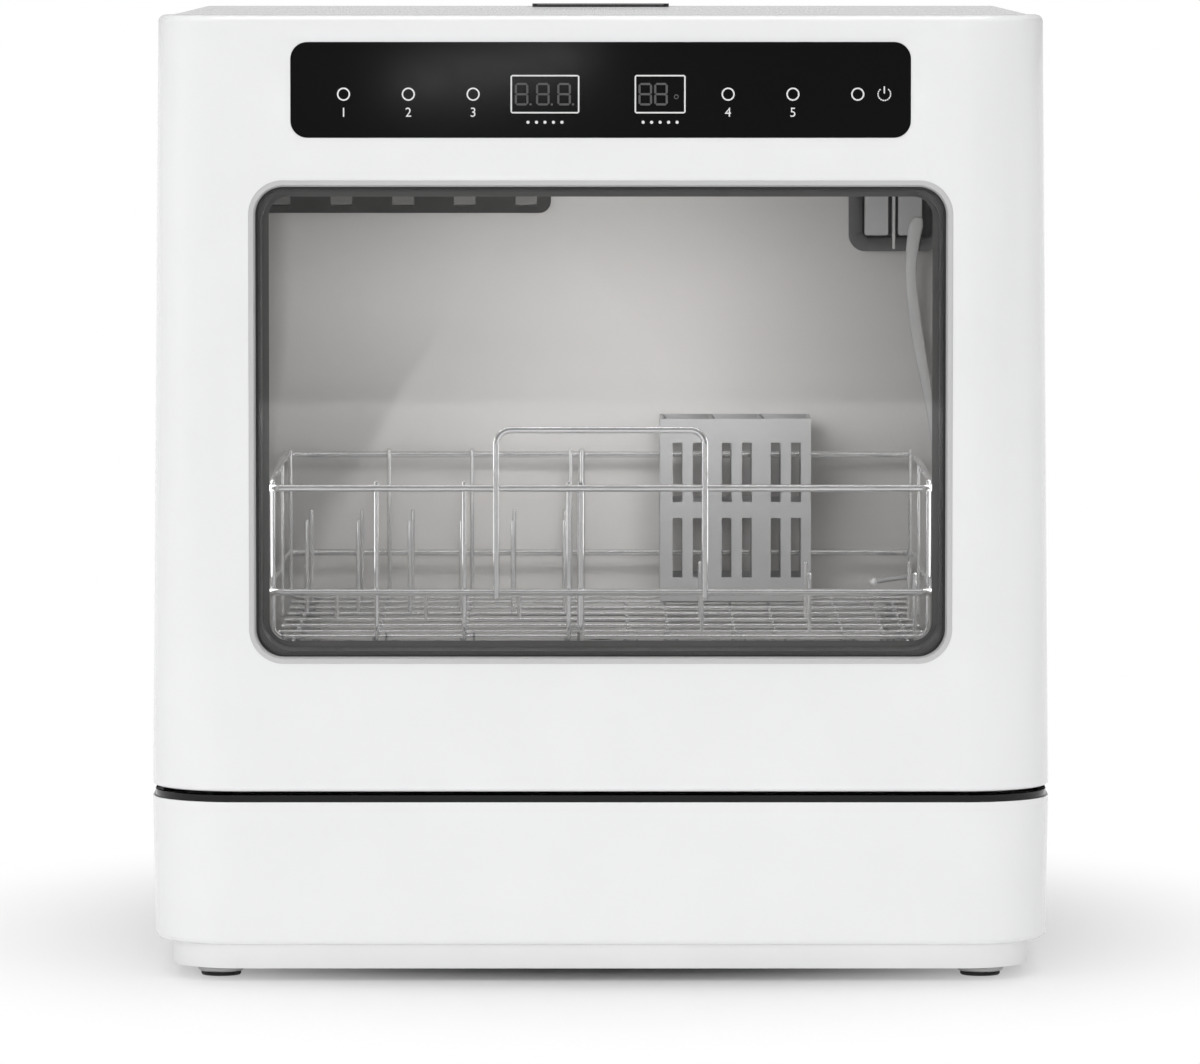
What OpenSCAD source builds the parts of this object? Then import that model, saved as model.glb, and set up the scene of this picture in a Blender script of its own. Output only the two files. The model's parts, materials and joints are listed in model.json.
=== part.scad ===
// Countertop dishwasher with a drop-down window door, a built-in water tank
// and a wire basket that slides out over the open door.
// Millimetres, +Z up, the door faces -Y. The origin is on the floor, under the middle.
// A depth is counted from the face of the door towards the back.

/* [Casing] */
// Width across the top of the casing
top_w = 420; // [405:1:480]
// How much wider the casing is at the dark seam, at each side
casing_draft = 3.7; // [0:0.1:8]
// How much narrower the base is at its bottom, at each side
base_draft = 1; // [0:0.1:4]
// Depth from the face of the door to the back edge
body_d = 430; // [415:1:480]
// Height from the floor to the top
body_h = 457; // [448:1:500]
// Radius of the two front vertical corners
corner_r = 41; // [36:1:46]
// Thickness of the moulded outer walls
wall = 2.5; // [2:0.1:3]
// Radius of the long top side edges
top_edge_r = 8; // [5:0.5:12]
// Thickness of the sheet of the rear panel
rear_t = 1.2; // [0.8:0.1:2]
// How far the rear panel lies inside the back edge
rear_in = 2; // [1:0.5:4]
// Width of the flange that the rear panel is screwed to
rear_flange = 9; // [8:0.5:14]
// Radius of the rear panel's screws
screw_r = 1.6; // [1.2:0.1:2]
// Number of louvres in each field of the rear panel
louvre_n = 9; // [4:1:10]
// Distance between neighbouring louvres
louvre_pitch = 9; // [6:0.5:9]
// Height of a louvre
louvre_h = 3.4; // [2:0.2:5]
// Length of a louvre
louvre_w = 90; // [60:1:100]

/* [Base] */
// Thickness of the rubber pads under the feet
pad_h = 2; // [1:0.1:4]
// Radius of a rubber pad
pad_r = 9.5; // [7:0.5:10.5]
// Height of a foot's pedestal above its pad
pedestal_h = 3.2; // [2:0.1:8]
// Radius of a foot's pedestal
pedestal_r = 11; // [10.8:0.2:13]
// Distance of a foot from the side of the base
foot_side = 31.7; // [30:0.1:60]
// Distance of a foot from the front face, and from the back edge
foot_in = 31; // [29:1:60]
// Height of the set-back plinth
plinth_h = 11.9; // [8:0.1:20]
// How far the plinth is set back under the base
plinth_in = 8.8; // [4:0.2:10]
// Width of the plinth's floor round its open middle
plinth_rim = 48; // [40:1:60]
// Height of the white base
base_h = 68.1; // [64:0.1:90]
// Radius of the lower edge of the base
base_edge_r = 3; // [1:0.5:5]
// Number of cooling slots in the base's floor
base_slots = 7; // [3:1:8]
// Length of a cooling slot
slot_len = 60; // [30:1:70]

/* [Dark seam] */
// Height of the dark line between base and casing
seam_h = 5; // [4:0.1:8]
// How far the dark strip lies behind the white surfaces
seam_in = 1.2; // [0.5:0.1:2]
// Running gap between the strip and the door's lower edge
seam_gap = 1.8; // [1.6:0.1:2.6]
// Width of the strip, measured inwards
seam_ring = 20; // [12:1:24]

/* [Door] */
// Depth of the door's cap at its sides and top
cap_d = 48; // [46:1:56]
// Gap between the cap and the casing behind it
cap_gap = 2.5; // [2:0.1:4]
// Radius of the door's top front edge
door_top_r = 3.4; // [1:0.2:5]
// Radius of the door's lower front edge
door_low_r = 2; // [1.5:0.2:3]
// Depth that the cap's lower wall reaches back
low_wall_d = 30; // [24:1:31]
// Radius that relieves the cap's lower back corners
relief_r = 8; // [6:0.5:12]
// Depth of the liner's inner face behind the front face
liner_d = 34; // [33:0.5:36]
// Thickness of the door's liner
liner_t = 2.5; // [2:0.1:3]
// Clearance between the liner and the inside of the cap
liner_gap = 1.7; // [1.5:0.1:2.5]
// Largest angle to which the door opens
door_angle = 85; // [80:1:88]

/* [Window] */
// Distance of the window's ring from the door's side, at the top
window_side = 43.9; // [43:0.1:60]
// Height of the ring's lower edge above the door's lower edge
window_rise = 60.8; // [60:0.1:66]
// Distance between the ring and the control panel above it
window_gap = 19.9; // [17:0.1:36]
// Outer corner radius of the ring
window_r = 16.5; // [12:0.5:24]
// Width of the ring seen from the front
trim_w = 3.4; // [2.6:0.1:5]
// How far the ring stands proud of the door
trim_proud = 0.6; // [0.3:0.1:1]
// Width of the ring's flange that lies on the door
trim_lap = 1.6; // [1:0.1:2]
// Thickness of the outer pane
outer_pane_t = 4; // [3:0.5:5]
// Thickness of the inner pane
inner_pane_t = 3; // [3:0.5:4]
// How far the panes reach past the opening
pane_lap = 3.4; // [2:0.1:4]
// Width of the dark spacer between the panes
spacer_w = 7.5; // [5:0.5:9]

/* [Controls] */
// Distance of the black control panel from the door's side, at the top
fascia_side = 64; // [50:1:70]
// Distance of the panel's upper edge below the top
fascia_drop = 12.5; // [10:0.5:16]
// Height of the panel
fascia_h = 45; // [40:0.5:46]
// Corner radius of the panel
fascia_r = 8; // [4:0.5:12]
// Thickness of the panel
fascia_t = 1.8; // [1.5:0.1:2]
// How far the panel stands proud
fascia_proud = 0.2; // [0.1:0.1:0.6]
// Width of the ledge behind the panel's edge
fascia_ledge = 4; // [3:0.5:6]
// Height of the touch keys above the panel's lower edge
key_rise = 20.5; // [18:0.5:24]
// Radius of a touch key's contact spring
key_r = 3; // [2:0.2:4]
// Distance of the innermost keys from the middle
key_first = 60; // [57:1:64]
// Distance of the outermost keys from the panel's ends
key_end = 25; // [18:1:34]
// Width of the left display
display_a_w = 32.4; // [26:0.2:34]
// Width of the right display
display_b_w = 24.1; // [20:0.2:28]
// Middle of the left display
display_a_x = -26.2; // [-30:0.2:-20]
// Middle of the right display
display_b_x = 28; // [22:0.2:34]
// Height of both displays
display_h = 18.1; // [14:0.1:22]
// Thickness of the control board
board_t = 1.6; // [1:0.1:2]
// Room between the panel and the board
board_gap = 5; // [4:0.5:7]

/* [Hinge and latch] */
// Depth of the door's hinge axis behind the front face
hinge_d = 8; // [7.5:0.1:8.4]
// Height of the hinge axis above the door's lower edge
hinge_rise = 12; // [11.5:0.1:14]
// Radius of a hinge pin
pin_r = 2.5; // [2:0.1:2.8]
// Running clearance round the hinge pins
pin_gap = 0.06; // [0.02:0.01:0.1]
// Radius of the metal round the pin
eye_r = 4.5; // [4:0.1:4.8]
// Distance of a hinge from the side of the door's lower edge
hinge_in = 40.7; // [40:0.1:48]
// Thickness of the fixed hinge tongue
tongue_t = 4; // [3:0.2:5]
// Thickness of a cheek of the door's hinge arm
cheek_t = 3.2; // [2:0.2:4]
// Gap between tongue and cheek
cheek_gap = 0.5; // [0.3:0.1:1]
// Height of the hinge arm above the axis
arm_h = 42; // [30:1:44]
// Half of the width of the latch hook
hook_hw = 8; // [5:0.5:12]
// Reach of the latch hook behind the liner
hook_reach = 22; // [18:1:26]
// Room over and under the hook in its catch
catch_gap = 5; // [4:0.5:5.4]
// Wall of the catch's housing
catch_wall = 2.5; // [1.5:0.1:3]
// Distance of the hook's underside below the casing's roof
hook_drop = 13; // [12:0.5:14]
// Thickness of the latch hook's plate
hook_t = 3; // [2:0.2:4]
// How far the hook's tip hangs down
hook_lip = 3.5; // [2:0.5:5]
// Room at each side of the hook in its catch
hook_side = 3; // [1:0.5:5]

/* [Wash chamber] */
// Room between the tub and the casing at each side
tub_side = 31; // [24:1:36]
// Thickness of the tub's sheet
tub_t = 1.5; // [0.8:0.1:2]
// Room between the tub's roof and the casing, for the tank
roof_room = 68; // [60:1:72]
// Height of the tub's floor above the base
floor_rise = 46.8; // [44:0.2:48]
// Room between the tub's back and the rear panel
duct_room = 75.3; // [66:0.5:84]
// Corner radius of the tub seen from the front
tub_r = 25; // [16:1:30]
// Height of the sill at the tub's mouth
sill_h = 14; // [12:0.5:15]
// Width of the flange round the mouth
flange_w = 8; // [6:0.5:10]
// Height of the rubber seal between frame and liner
seal_h = 5; // [4:0.5:7]
// Width of the rubber seal
seal_w = 7; // [5:0.5:9]
// Gap between seal and closed liner
seal_gap = 0.3; // [0.2:0.1:0.5]
// Thickness of the front frame
frame_t = 3; // [2:0.1:4]
// Clearance of the frame inside the door's cap
frame_gap = 2; // [1.5:0.1:3]
// Depth of the frame's skirt behind its face
frame_skirt = 21; // [18:1:26]

/* [Fittings in the chamber] */
// Length of the air outlet's dark cover
outlet_w = 146.7; // [144:0.1:160]
// Height from the cover's lower edge to the tub's roof
outlet_h = 32.3; // [28:0.1:36]
// Width of a slot in the cover
outlet_slot_w = 11.4; // [6:0.2:16]
// Distance between neighbouring slots
outlet_pitch = 31.4; // [28:0.2:32]
// Half of the width of the water inlet's box
inlet_box_hw = 23.3; // [22:0.1:24.5]
// Height from the box's lower edge to the tub's roof
inlet_box_h = 51.5; // [44:0.5:60]
// Depth of the box
inlet_box_d = 16; // [12:0.5:20]
// Width of the flat feed pipe
pipe_w = 6.2; // [4:0.2:8]
// Thickness of the flat feed pipe
pipe_t = 3.4; // [2.4:0.2:4]
// Height of the pipe's open foot above the tub's floor
pipe_foot = 26; // [16:1:40]
// Length of the level probe between its seat and its tip
probe_reach = 32; // [20:1:32]
// Height of the probe's tip above the tub's floor
probe_rise = 30; // [27:0.5:34]
// Slope of the probe's rod
probe_slope = 8; // [0:1:14]

/* [Sump, filter and spray arm] */
// Radius of the sump's mouth in the tub's floor
sump_r = 58; // [50:1:64]
// Wall of the sump
sump_t = 2.5; // [2:0.1:4]
// Depth of the sump under the tub's floor
sump_h = 80; // [76:1:84]
// Radius of the filter cup
cup_r = 25; // [18:1:30]
// Height of the filter cup
cup_h = 44; // [30:1:56]
// Thickness of the flat filter plate
filter_t = 1.6; // [1:0.1:3]
// Radius of the spray arm's post
post_r = 6; // [5:0.2:8]
// Half of the length of the spray arm
arm_r = 138; // [110:1:140]
// Width of the spray arm at its middle
arm_w = 30; // [24:1:36]
// Thickness of the spray arm
arm_t = 7; // [5:0.5:8]
// Height of the arm's underside above the tub's floor
arm_rise = 6.5; // [5:0.5:7]
// Running clearance round the spray arm's post
arm_gap = 0.08; // [0.03:0.01:0.1]
// Width of the welded seam round the spray arm
arm_seam = 1.6; // [1:0.2:2.4]
// Length of the sump's spouts
sump_spout = 12; // [8:1:14]

/* [Machinery] */
// Radius of the wash pump's housing
volute_r = 37; // [32:1:40]
// Width of the wash pump's housing
volute_w = 26; // [20:1:30]
// Radius of the wash pump's motor
motor_r = 30; // [24:1:31]
// Length of the wash pump's motor
motor_l = 70; // [60:1:72]
// Radius of the drain pump's housing
drain_pump_r = 21; // [18:1:24]
// Radius of the drain pump's motor
drain_motor_r = 17; // [12:1:18]
// Radius of the heater's tube
heater_r = 20; // [16:1:22]
// Radius of the supply hose's bend
heater_bend = 26; // [24:1:28]
// Radius of the drying fan
fan_r = 40; // [36:1:44]
// Length of the power board
power_w = 140; // [130:1:160]
// Width of the power board
power_d = 60; // [56:1:66]

/* [Basket] */
// Height of the runners on the tub's floor
rail_h = 17.7; // [16:0.1:20]
// Width of a runner
runner_w = 9; // [7:0.5:11]
// Running gap between a runner and the glides
runner_gap = 0.3; // [0.2:0.1:0.6]
// Distance of a runner from the basket's side rail
runner_in = 12.5; // [11:0.5:16]
// Number of open windows in a runner's web
web_n = 7; // [3:1:8]
// Room between the basket and the tub at each side
basket_side = 15; // [11:1:20]
// Depth of the basket's front rails behind the front face
basket_front = 65; // [64:1:70]
// Room behind the basket
basket_back = 15; // [15:1:30]
// Radius of the frame wires
rail_r = 1.5; // [1.2:0.1:2]
// Radius of the thin wires
thin_r = 1.05; // [0.8:0.05:1.3]
// Height of the glides under the basket
glide_h = 4.5; // [4:0.5:6]
// Height of the lower rail above the cross wires
low_rail_rise = 22.4; // [18:0.1:26]
// Height of the top rail above the lower rail
top_rail_rise = 50; // [40:1:60]
// Height of the handle above the top rail
handle_rise = 28.2; // [24:0.2:34]
// Half of the distance between the handle's legs
handle_hw = 50; // [40:1:56]
// Bend radius of the basket's corners
basket_r = 6; // [5:0.5:10]
// Bend radius of the handle
handle_r = 7; // [5:0.5:10]
// Height of the tines for plates
tine_h = 46; // [30:1:60]
// Height of the tines for cups
cup_tine_h = 28; // [14:1:40]
// Place of the cutlery holder's left side
holder_x0 = 30; // [20:1:40]
// Width of the cutlery holder
holder_w = 76; // [70:1:84]
// Depth of the cutlery holder, front to back
holder_d = 46.3; // [40:0.1:60]
// Height of the cutlery holder
holder_h = 92; // [70:1:110]
// Wall of the cutlery holder
holder_t = 1.8; // [1.2:0.1:2.4]
// Number of cells in the cutlery holder
holder_cells = 3; // [2:1:3]

/* [Tank and inlet] */
// Room round the tank under the casing
tank_gap = 8.5; // [6:0.5:12]
// Wall of the tank
tank_t = 2; // [1.5:0.1:3]
// Depth at which the tank begins
tank_d0 = 72; // [70:1:90]
// Half of the width of the filling lid
lid_hw = 35; // [30:1:40]
// Distance of the lid's back edge from the back of the casing
lid_back = 22; // [21:1:28]
// Length of the filling lid, front to back
lid_len = 31; // [28:1:33]
// Thickness of the filling lid
lid_t = 1.5; // [1.2:0.1:2.5]
// Gap under the closed lid
lid_gap = 0.1; // [0.1:0.1:0.4]
// Radius of the lid's hinge barrel
barrel_r = 2.2; // [2:0.1:2.4]
// Radius of the lid's hinge pin
lid_pin_r = 1; // [0.8:0.1:1.2]
// Half of the length of the lid's hinge barrel
barrel_hw = 18; // [12:1:22]
// Width of the rim round the port, under the lid
port_rim = 8; // [6:0.5:9]
// Length of the port's skirt below the top
port_skirt = 14; // [12:0.5:16]

/* [Rear connections] */
// Distance of the inlet and the cord's gland from the casing's sides
inlet_in = 60; // [58:1:76]
// Distance of the drain's outlet from the drain pump's flange
drain_out = 20; // [17:1:34]
// Radius of the cord gland's body
gland_r = 8; // [7:0.5:10]
// Radius of the cord gland's bore
gland_bore_r = 3.8; // [3:0.1:4.5]
// Height of the connections above the base's floor
spigot_rise = 44; // [40:1:48]
// Radius of the inlet's threaded end
inlet_r = 13.2; // [10:0.1:14]
// Radius of the drain's spigot
drain_r = 9; // [7:0.5:11]
// How far the connections stand out at the back
rear_reach = 14; // [10:1:20]

/* [Hidden] */
$fn = 48;

// --- Places that follow from the sizes above ---
eps = 0.01;
front_y = (trim_proud - body_d - rear_reach) / 2;
plinth_z0 = pad_h + pedestal_h;
base_z0 = plinth_z0 + plinth_h;
seam_z0 = base_z0 + base_h;
door_z0 = seam_z0 + seam_h;
base_floor_z = base_z0 + wall;
casing_d0 = cap_d + cap_gap;
rear_d = body_d - rear_in - rear_t;
seam_w = top_w + 2 * casing_draft;
foot_w = seam_w - 2 * base_draft;
foot_x = foot_w / 2 - foot_side;
slot_d1 = body_d - 70;
slot_w = 5;
slot_pitch = 12;

frame_d = liner_d + seal_h;
frame_inset = wall + frame_gap;
liner_inset = wall + liner_gap;
tub_d0 = frame_d + frame_t;
tub_d1 = rear_d - duct_room - tub_t;
tub_hw = top_w / 2 - wall - tub_side - tub_t;
tub_z0 = seam_z0 + floor_rise;
tub_z1 = body_h - wall - roof_room - tub_t;
mouth_z0 = tub_z0 + sill_h;
tub_mid_d = (tub_d0 + tub_d1) / 2;

hinge_z = door_z0 + hinge_rise;
hinge_x = seam_w / 2 - hinge_in;
hook_z = body_h - wall - hook_drop;

fascia_hw = top_w / 2 - fascia_side;
fascia_z0 = body_h - fascia_drop - fascia_h;
window_hw = top_w / 2 - window_side;
window_z0 = door_z0 + window_rise;
window_z1 = fascia_z0 - window_gap;
trim_in = window_hw - trim_w;
opening_hw = window_hw - trim_lap;
pane_d0 = wall;
spacer_d0 = pane_d0 + outer_pane_t;
inner_pane_d = liner_d - liner_t - inner_pane_t;
pane_hw = opening_hw + pane_lap;

key_z = fascia_z0 + key_rise;
board_d = fascia_t - fascia_proud + board_gap;
key_pitch = (fascia_hw - key_end - key_first) / 2;
key_xs = [for (s = [-1, 1]) for (i = [0:2]) s * (key_first + i * key_pitch)];

basket_hw = tub_hw - basket_side;
basket_d1 = tub_d1 - basket_back;
runner_x = basket_hw - runner_in;
runner_d0 = tub_d0 + tub_t + 2;
runner_d1 = basket_d1 + 8;
web_post = runner_w;
long_z = tub_z0 + rail_h + runner_gap + glide_h + thin_r;
cross_z = long_z + 2 * thin_r;
low_rail_z = cross_z + low_rail_rise;
top_rail_z = low_rail_z + top_rail_rise;

tank_z0 = tub_z1 + tub_t + 1.5;
tank_z1 = body_h - wall - tank_gap;
tank_d1 = rear_d - 11;
tank_hw = tub_hw - 10;
lid_d0 = body_d - lid_back - lid_len;
barrel_z = body_h - 0.8;
barrel_d = lid_d0 + lid_len + 1.6;
port_d0 = lid_d0 + port_rim - 2;
port_d1 = barrel_d - barrel_r - 3.4;
port_hw = lid_hw - port_rim;

wash_z = tub_z0 - 48;
drain_z = base_floor_z + spigot_rise;
sump_z0 = tub_z0 - tub_t - sump_h;
inlet_x = top_w / 2 - inlet_in;
drain_pump_x = sump_r + sump_spout;
drain_x = drain_pump_x + drain_out;
fan_x = 105;
fan_z = tub_z1 - fan_r - 6;

// --- Shared shapes ---

// Points on an arc from angle a0 to a1 in n steps
function arc(cx, cy, r, a0, a1, n) =
    [for (i = [0:n]) let (a = a0 + (a1 - a0) * i / n) [cx + r * cos(a), cy + r * sin(a)]];

// Rectangle with round corners between two corners
function round_rect(x0, x1, z0, z1, r, n = 8) = concat(
    arc(x1 - r, z1 - r, r, 0, 90, n),
    arc(x0 + r, z1 - r, r, 90, 180, n),
    arc(x0 + r, z0 + r, r, 180, 270, n),
    arc(x1 - r, z0 + r, r, 270, 360, n));

// Half of the casing's width at a height above the seam: the moulding's draft
function half_at(z) =
    top_w / 2 + (seam_w - top_w) / 2 * (body_h - z) / (body_h - door_z0);

// Half of the base's width at a height
function base_half(z) = foot_w / 2 + (seam_w - foot_w) / 2 * (z - base_z0) / base_h;

// Outline of door and base seen from above: round front corners, square back
function plan(hw, d0, d1, r, n = 14) = concat(
    [[hw, front_y + d1], [-hw, front_y + d1]],
    arc(r - hw, front_y + d0 + r, r, 180, 270, n),
    arc(hw - r, front_y + d0 + r, r, 270, 360, n));

// Outline of the casing seen from the front, drawn in by an inset, from height zb up
function casing_outline(inset, zb, n = 8) =
    let (r = max(top_edge_r - inset, 0.8),
         cx = top_w / 2 - inset - r,
         cz = body_h - inset - r)
    concat([[half_at(zb) - inset, zb]], arc(cx, cz, r, 0, 90, n),
           arc(-cx, cz, r, 90, 180, n), [[inset - half_at(zb), zb]]);

// Extrudes a front outline between two depths
module front_prism(points, d0, d1) {
    translate([0, front_y + d1, 0])
        rotate([90, 0, 0])
            linear_extrude(d1 - d0)
                polygon(points);
}

// Ring between two front outlines
module front_ring(outer, inner, d0, d1) {
    difference() {
        front_prism(outer, d0, d1);
        front_prism(inner, d0 - 1, d1 + 1);
    }
}

// Box between two corners, with its depth counted from the front face
module block(x0, x1, d0, d1, z0, z1) {
    translate([x0, front_y + d0, z0]) cube([x1 - x0, d1 - d0, z1 - z0]);
}

// Cylinders along the three axes; the place of the low end is given
module rod_x(x0, x1, d, z, r) {
    translate([x0, front_y + d, z]) rotate([0, 90, 0]) cylinder(r = r, h = x1 - x0);
}
module rod_y(x, d0, d1, z, r) {
    translate([x, front_y + d1, z]) rotate([90, 0, 0]) cylinder(r = r, h = d1 - d0);
}
module rod_z(x, d, z0, z1, r) {
    translate([x, front_y + d, z0]) cylinder(r = r, h = z1 - z0);
}

// Both sides of the machine
module both_sides() {
    children();
    mirror([1, 0, 0]) children();
}

// One thin slice of the door or base, for a drafted shell
module slice(points, z) {
    translate([0, 0, z]) linear_extrude(eps) polygon(points);
}

// --- Casing and base ---

module housing() {
    color("white") {
        difference() {
            front_prism(casing_outline(0, door_z0), casing_d0, body_d);
            front_prism(casing_outline(wall, door_z0 - 1), casing_d0 - 1, body_d + 1);
            block(-lid_hw - 2, lid_hw + 2, lid_d0 - 2.5, barrel_d + barrel_r + 4,
                  body_h - wall - 1, body_h + 1);
        }
        // Flange that the rear panel is screwed to
        front_ring(casing_outline(wall - eps, door_z0), casing_outline(wall + rear_flange, door_z0 - 1),
                   rear_d - 2, rear_d);
    }
}

// Rear screws, in the middle of the casing's flange all the way down
module at_rear_screws() {
    both_sides()
        for (i = [0:3]) {
            z = door_z0 + 24 + i * (body_h - door_z0 - 48) / 3;
            translate([half_at(z) - wall - 1 - rear_flange / 2, 0, z]) children();
        }
}

// Field of louvres about a middle
module louvres(x, z) {
    for (i = [0:louvre_n - 1]) {
        zi = z + (i - (louvre_n - 1) / 2) * louvre_pitch;
        front_prism(round_rect(x - louvre_w / 2, x + louvre_w / 2, zi - louvre_h / 2,
                               zi + louvre_h / 2, louvre_h / 2 - eps, 4),
                    rear_d - 1, rear_d + rear_t + 1);
    }
}

module rear_panel() {
    color("gainsboro")
        difference() {
            front_prism(casing_outline(wall + 0.4, door_z0 + 0.4), rear_d, rear_d + rear_t);
            // Air leaves the fan through the upper louvres and cools the base through the lower
            louvres(-fan_x, fan_z);
            louvres(fan_x, door_z0 + 78);
            at_rear_screws() rod_y(0, rear_d - 1, rear_d + rear_t + 1, 0, screw_r + 0.2);
        }
}

module rear_screws() {
    color("silver")
        at_rear_screws() {
            rod_y(0, rear_d + rear_t, rear_d + rear_t + screw_r, 0, 2 * screw_r - 0.2);
            rod_y(0, rear_d + eps, rear_d + rear_t + eps, 0, screw_r);
        }
}

module base_shell() {
    color("white")
        difference() {
            hull() {
                for (i = [0:3]) {
                    inset = base_edge_r * (1 - sin(30 * i));
                    z = base_z0 + base_edge_r * (1 - cos(30 * i));
                    slice(plan(base_half(z) - inset, inset, body_d - inset, corner_r - inset), z);
                }
                slice(plan(seam_w / 2, 0, body_d, corner_r), seam_z0 - eps);
            }
            hull() {
                slice(plan(base_half(base_floor_z) - wall, wall, body_d - wall,
                           corner_r - wall), base_floor_z);
                slice(plan(seam_w / 2 - wall, wall, body_d - wall, corner_r - wall), seam_z0 + 1);
            }
            rod_y(inlet_x, body_d - wall - 2, body_d + 1, drain_z, inlet_r + 0.3);
            rod_y(drain_x, body_d - wall - 2, body_d + 1, drain_z, drain_r + 0.3);
            rod_y(-inlet_x, body_d - wall - 2, body_d + 1, drain_z, gland_r + 0.3);
            // Cooling slots under the machinery
            for (i = [0:base_slots - 1]) {
                x = 10 - inlet_x + i * slot_pitch;
                block(x, x + slot_w, slot_d1 - slot_len, slot_d1, base_z0 - 1, base_floor_z + 1);
            }
        }
}

module plinth() {
    plinth_hw = foot_w / 2 - plinth_in;
    r = corner_r - plinth_in;
    color("white")
        difference() {
            translate([0, 0, plinth_z0])
                linear_extrude(plinth_h)
                    polygon(plan(plinth_hw, plinth_in, body_d - plinth_in, r));
            translate([0, 0, plinth_z0 + wall])
                linear_extrude(plinth_h)
                    polygon(plan(plinth_hw - wall, plinth_in + wall, body_d - plinth_in - wall,
                                 r - wall));
            // Open middle of the plinth's floor
            block(plinth_rim - plinth_hw, plinth_hw - plinth_rim, plinth_in + plinth_rim,
                  body_d - plinth_in - plinth_rim, plinth_z0 - 1, plinth_z0 + wall + 1);
        }
}

module at_feet() {
    for (x = [-foot_x, foot_x])
        for (d = [foot_in, body_d - foot_in])
            translate([x, front_y + d, 0]) children();
}

module foot_pedestals() {
    r = pedestal_r;
    color("gainsboro")
        at_feet()
            translate([0, 0, pad_h])
                rotate_extrude()
                    polygon([[0, 0], [r - 0.8, 0], [r, 0.8], [r, pedestal_h], [0, pedestal_h]]);
}

module foot_pads() {
    color("black")
        at_feet()
            rotate_extrude()
                polygon([[0, 0], [pad_r - 0.5, 0], [pad_r, 0.5], [pad_r, pad_h], [0, pad_h]]);
}

module seam_trim() {
    inner = seam_in + seam_ring;
    color("black")
        difference() {
            translate([0, 0, seam_z0])
                linear_extrude(seam_h)
                    polygon(plan(seam_w / 2 - seam_in, seam_in, body_d - seam_in,
                                 corner_r - seam_in));
            translate([0, 0, seam_z0 - 1])
                linear_extrude(seam_h + 2)
                    polygon(plan(seam_w / 2 - inner, inner, body_d - inner, corner_r - inner));
            // The strip is lower in front, so that the door's edge passes over it
            block(-seam_w, seam_w, -1, casing_d0, seam_z0 + seam_h - seam_gap, door_z0 + 1);
        }
}

// --- Front frame, seal and wash chamber ---

module front_frame() {
    color("whitesmoke")
        difference() {
            union() {
                front_prism(casing_outline(frame_inset, door_z0), frame_d, tub_d0);
                front_ring(casing_outline(frame_inset, door_z0),
                           casing_outline(frame_inset + wall, door_z0 - 1),
                           tub_d0 - eps, frame_d + frame_skirt);
                // Lip that seats in the casing
                front_ring(casing_outline(wall + 0.2, door_z0),
                           casing_outline(frame_inset + wall, door_z0 - 1),
                           casing_d0 + 2, frame_d + frame_skirt);
            }
            front_prism(round_rect(-tub_hw, tub_hw, mouth_z0, tub_z1, tub_r - 1),
                        frame_d - 1, tub_d0 + 1);
            both_sides() hinge_slot(frame_d - 1, tub_d0 + 1, hinge_z - eye_r - 0.7);
            block(-hook_hw - hook_side, hook_hw + hook_side, frame_d - 1, tub_d0 + 1,
                  hook_z - hook_lip - catch_gap, hook_z + hook_t + catch_gap);
        }
}

// Slot that the fixed hinge tongue passes through
module hinge_slot(d0, d1, zb) {
    block(hinge_x - tongue_t / 2 - cheek_gap, hinge_x + tongue_t / 2 + cheek_gap, d0, d1, zb,
          hinge_z + eye_r + 0.7);
}

module door_seal() {
    color("dimgray")
        difference() {
            union() {
                front_prism(round_rect(-tub_hw - seal_w - 1, tub_hw + seal_w + 1,
                                       mouth_z0 - seal_w - 1, tub_z1 + seal_w + 1,
                                       tub_r + seal_w), liner_d + 2, frame_d);
                front_prism(round_rect(-tub_hw - seal_w / 2 - 2, tub_hw + seal_w / 2 + 2,
                                       mouth_z0 - seal_w / 2 - 2, tub_z1 + seal_w / 2 + 2,
                                       tub_r + seal_w / 2), liner_d + seal_gap, frame_d);
            }
            front_prism(round_rect(-tub_hw - 1, tub_hw + 1, mouth_z0 - 1, tub_z1 + 1, tub_r),
                        liner_d - 1, frame_d + 1);
        }
}

module tub() {
    inner = round_rect(-tub_hw, tub_hw, tub_z0, tub_z1, tub_r);
    outer = round_rect(-tub_hw - tub_t, tub_hw + tub_t, tub_z0 - tub_t, tub_z1 + tub_t,
                       tub_r + tub_t);
    color("darkgray")
        difference() {
            union() {
                front_prism(outer, tub_d0, tub_d1 + tub_t);
                front_prism(round_rect(-tub_hw - flange_w, tub_hw + flange_w,
                                       tub_z0 - flange_w, tub_z1 + flange_w,
                                       tub_r + flange_w), tub_d0, tub_d0 + tub_t);
            }
            front_prism(inner, tub_d0 + tub_t, tub_d1);
            front_prism(round_rect(-tub_hw, tub_hw, mouth_z0, tub_z1, tub_r - 1),
                        tub_d0 - 1, tub_d0 + tub_t + 1);
            rod_z(0, tub_mid_d, tub_z0 - 3, tub_z0 + 1, sump_r);
            // Air way into the outlet, and the water's way in from the tank
            block(outlet_x0 + 22, outlet_x1 - 14, tub_d1 - 1, tub_d1 + tub_t + 1,
                  outlet_z0 + 6, tub_z1 - 12);
            rod_z(feed_x, tub_d1 - 14, tub_z1 - 1, tub_z1 + tub_t + 1, 5);
        }
}

module slide_rails() {
    color("lightgray")
        both_sides()
            difference() {
                block(runner_x - runner_w / 2, runner_x + runner_w / 2, runner_d0, runner_d1,
                      tub_z0 + 0.3, tub_z0 + rail_h);
                // Open webs
                pitch = (runner_d1 - runner_d0 - web_post) / web_n;
                for (i = [0:web_n - 1])
                    block(runner_x - runner_w, runner_x + runner_w,
                          runner_d0 + web_post + i * pitch, runner_d0 + (i + 1) * pitch,
                          tub_z0 + 4, tub_z0 + rail_h - 4);
            }
}

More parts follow.
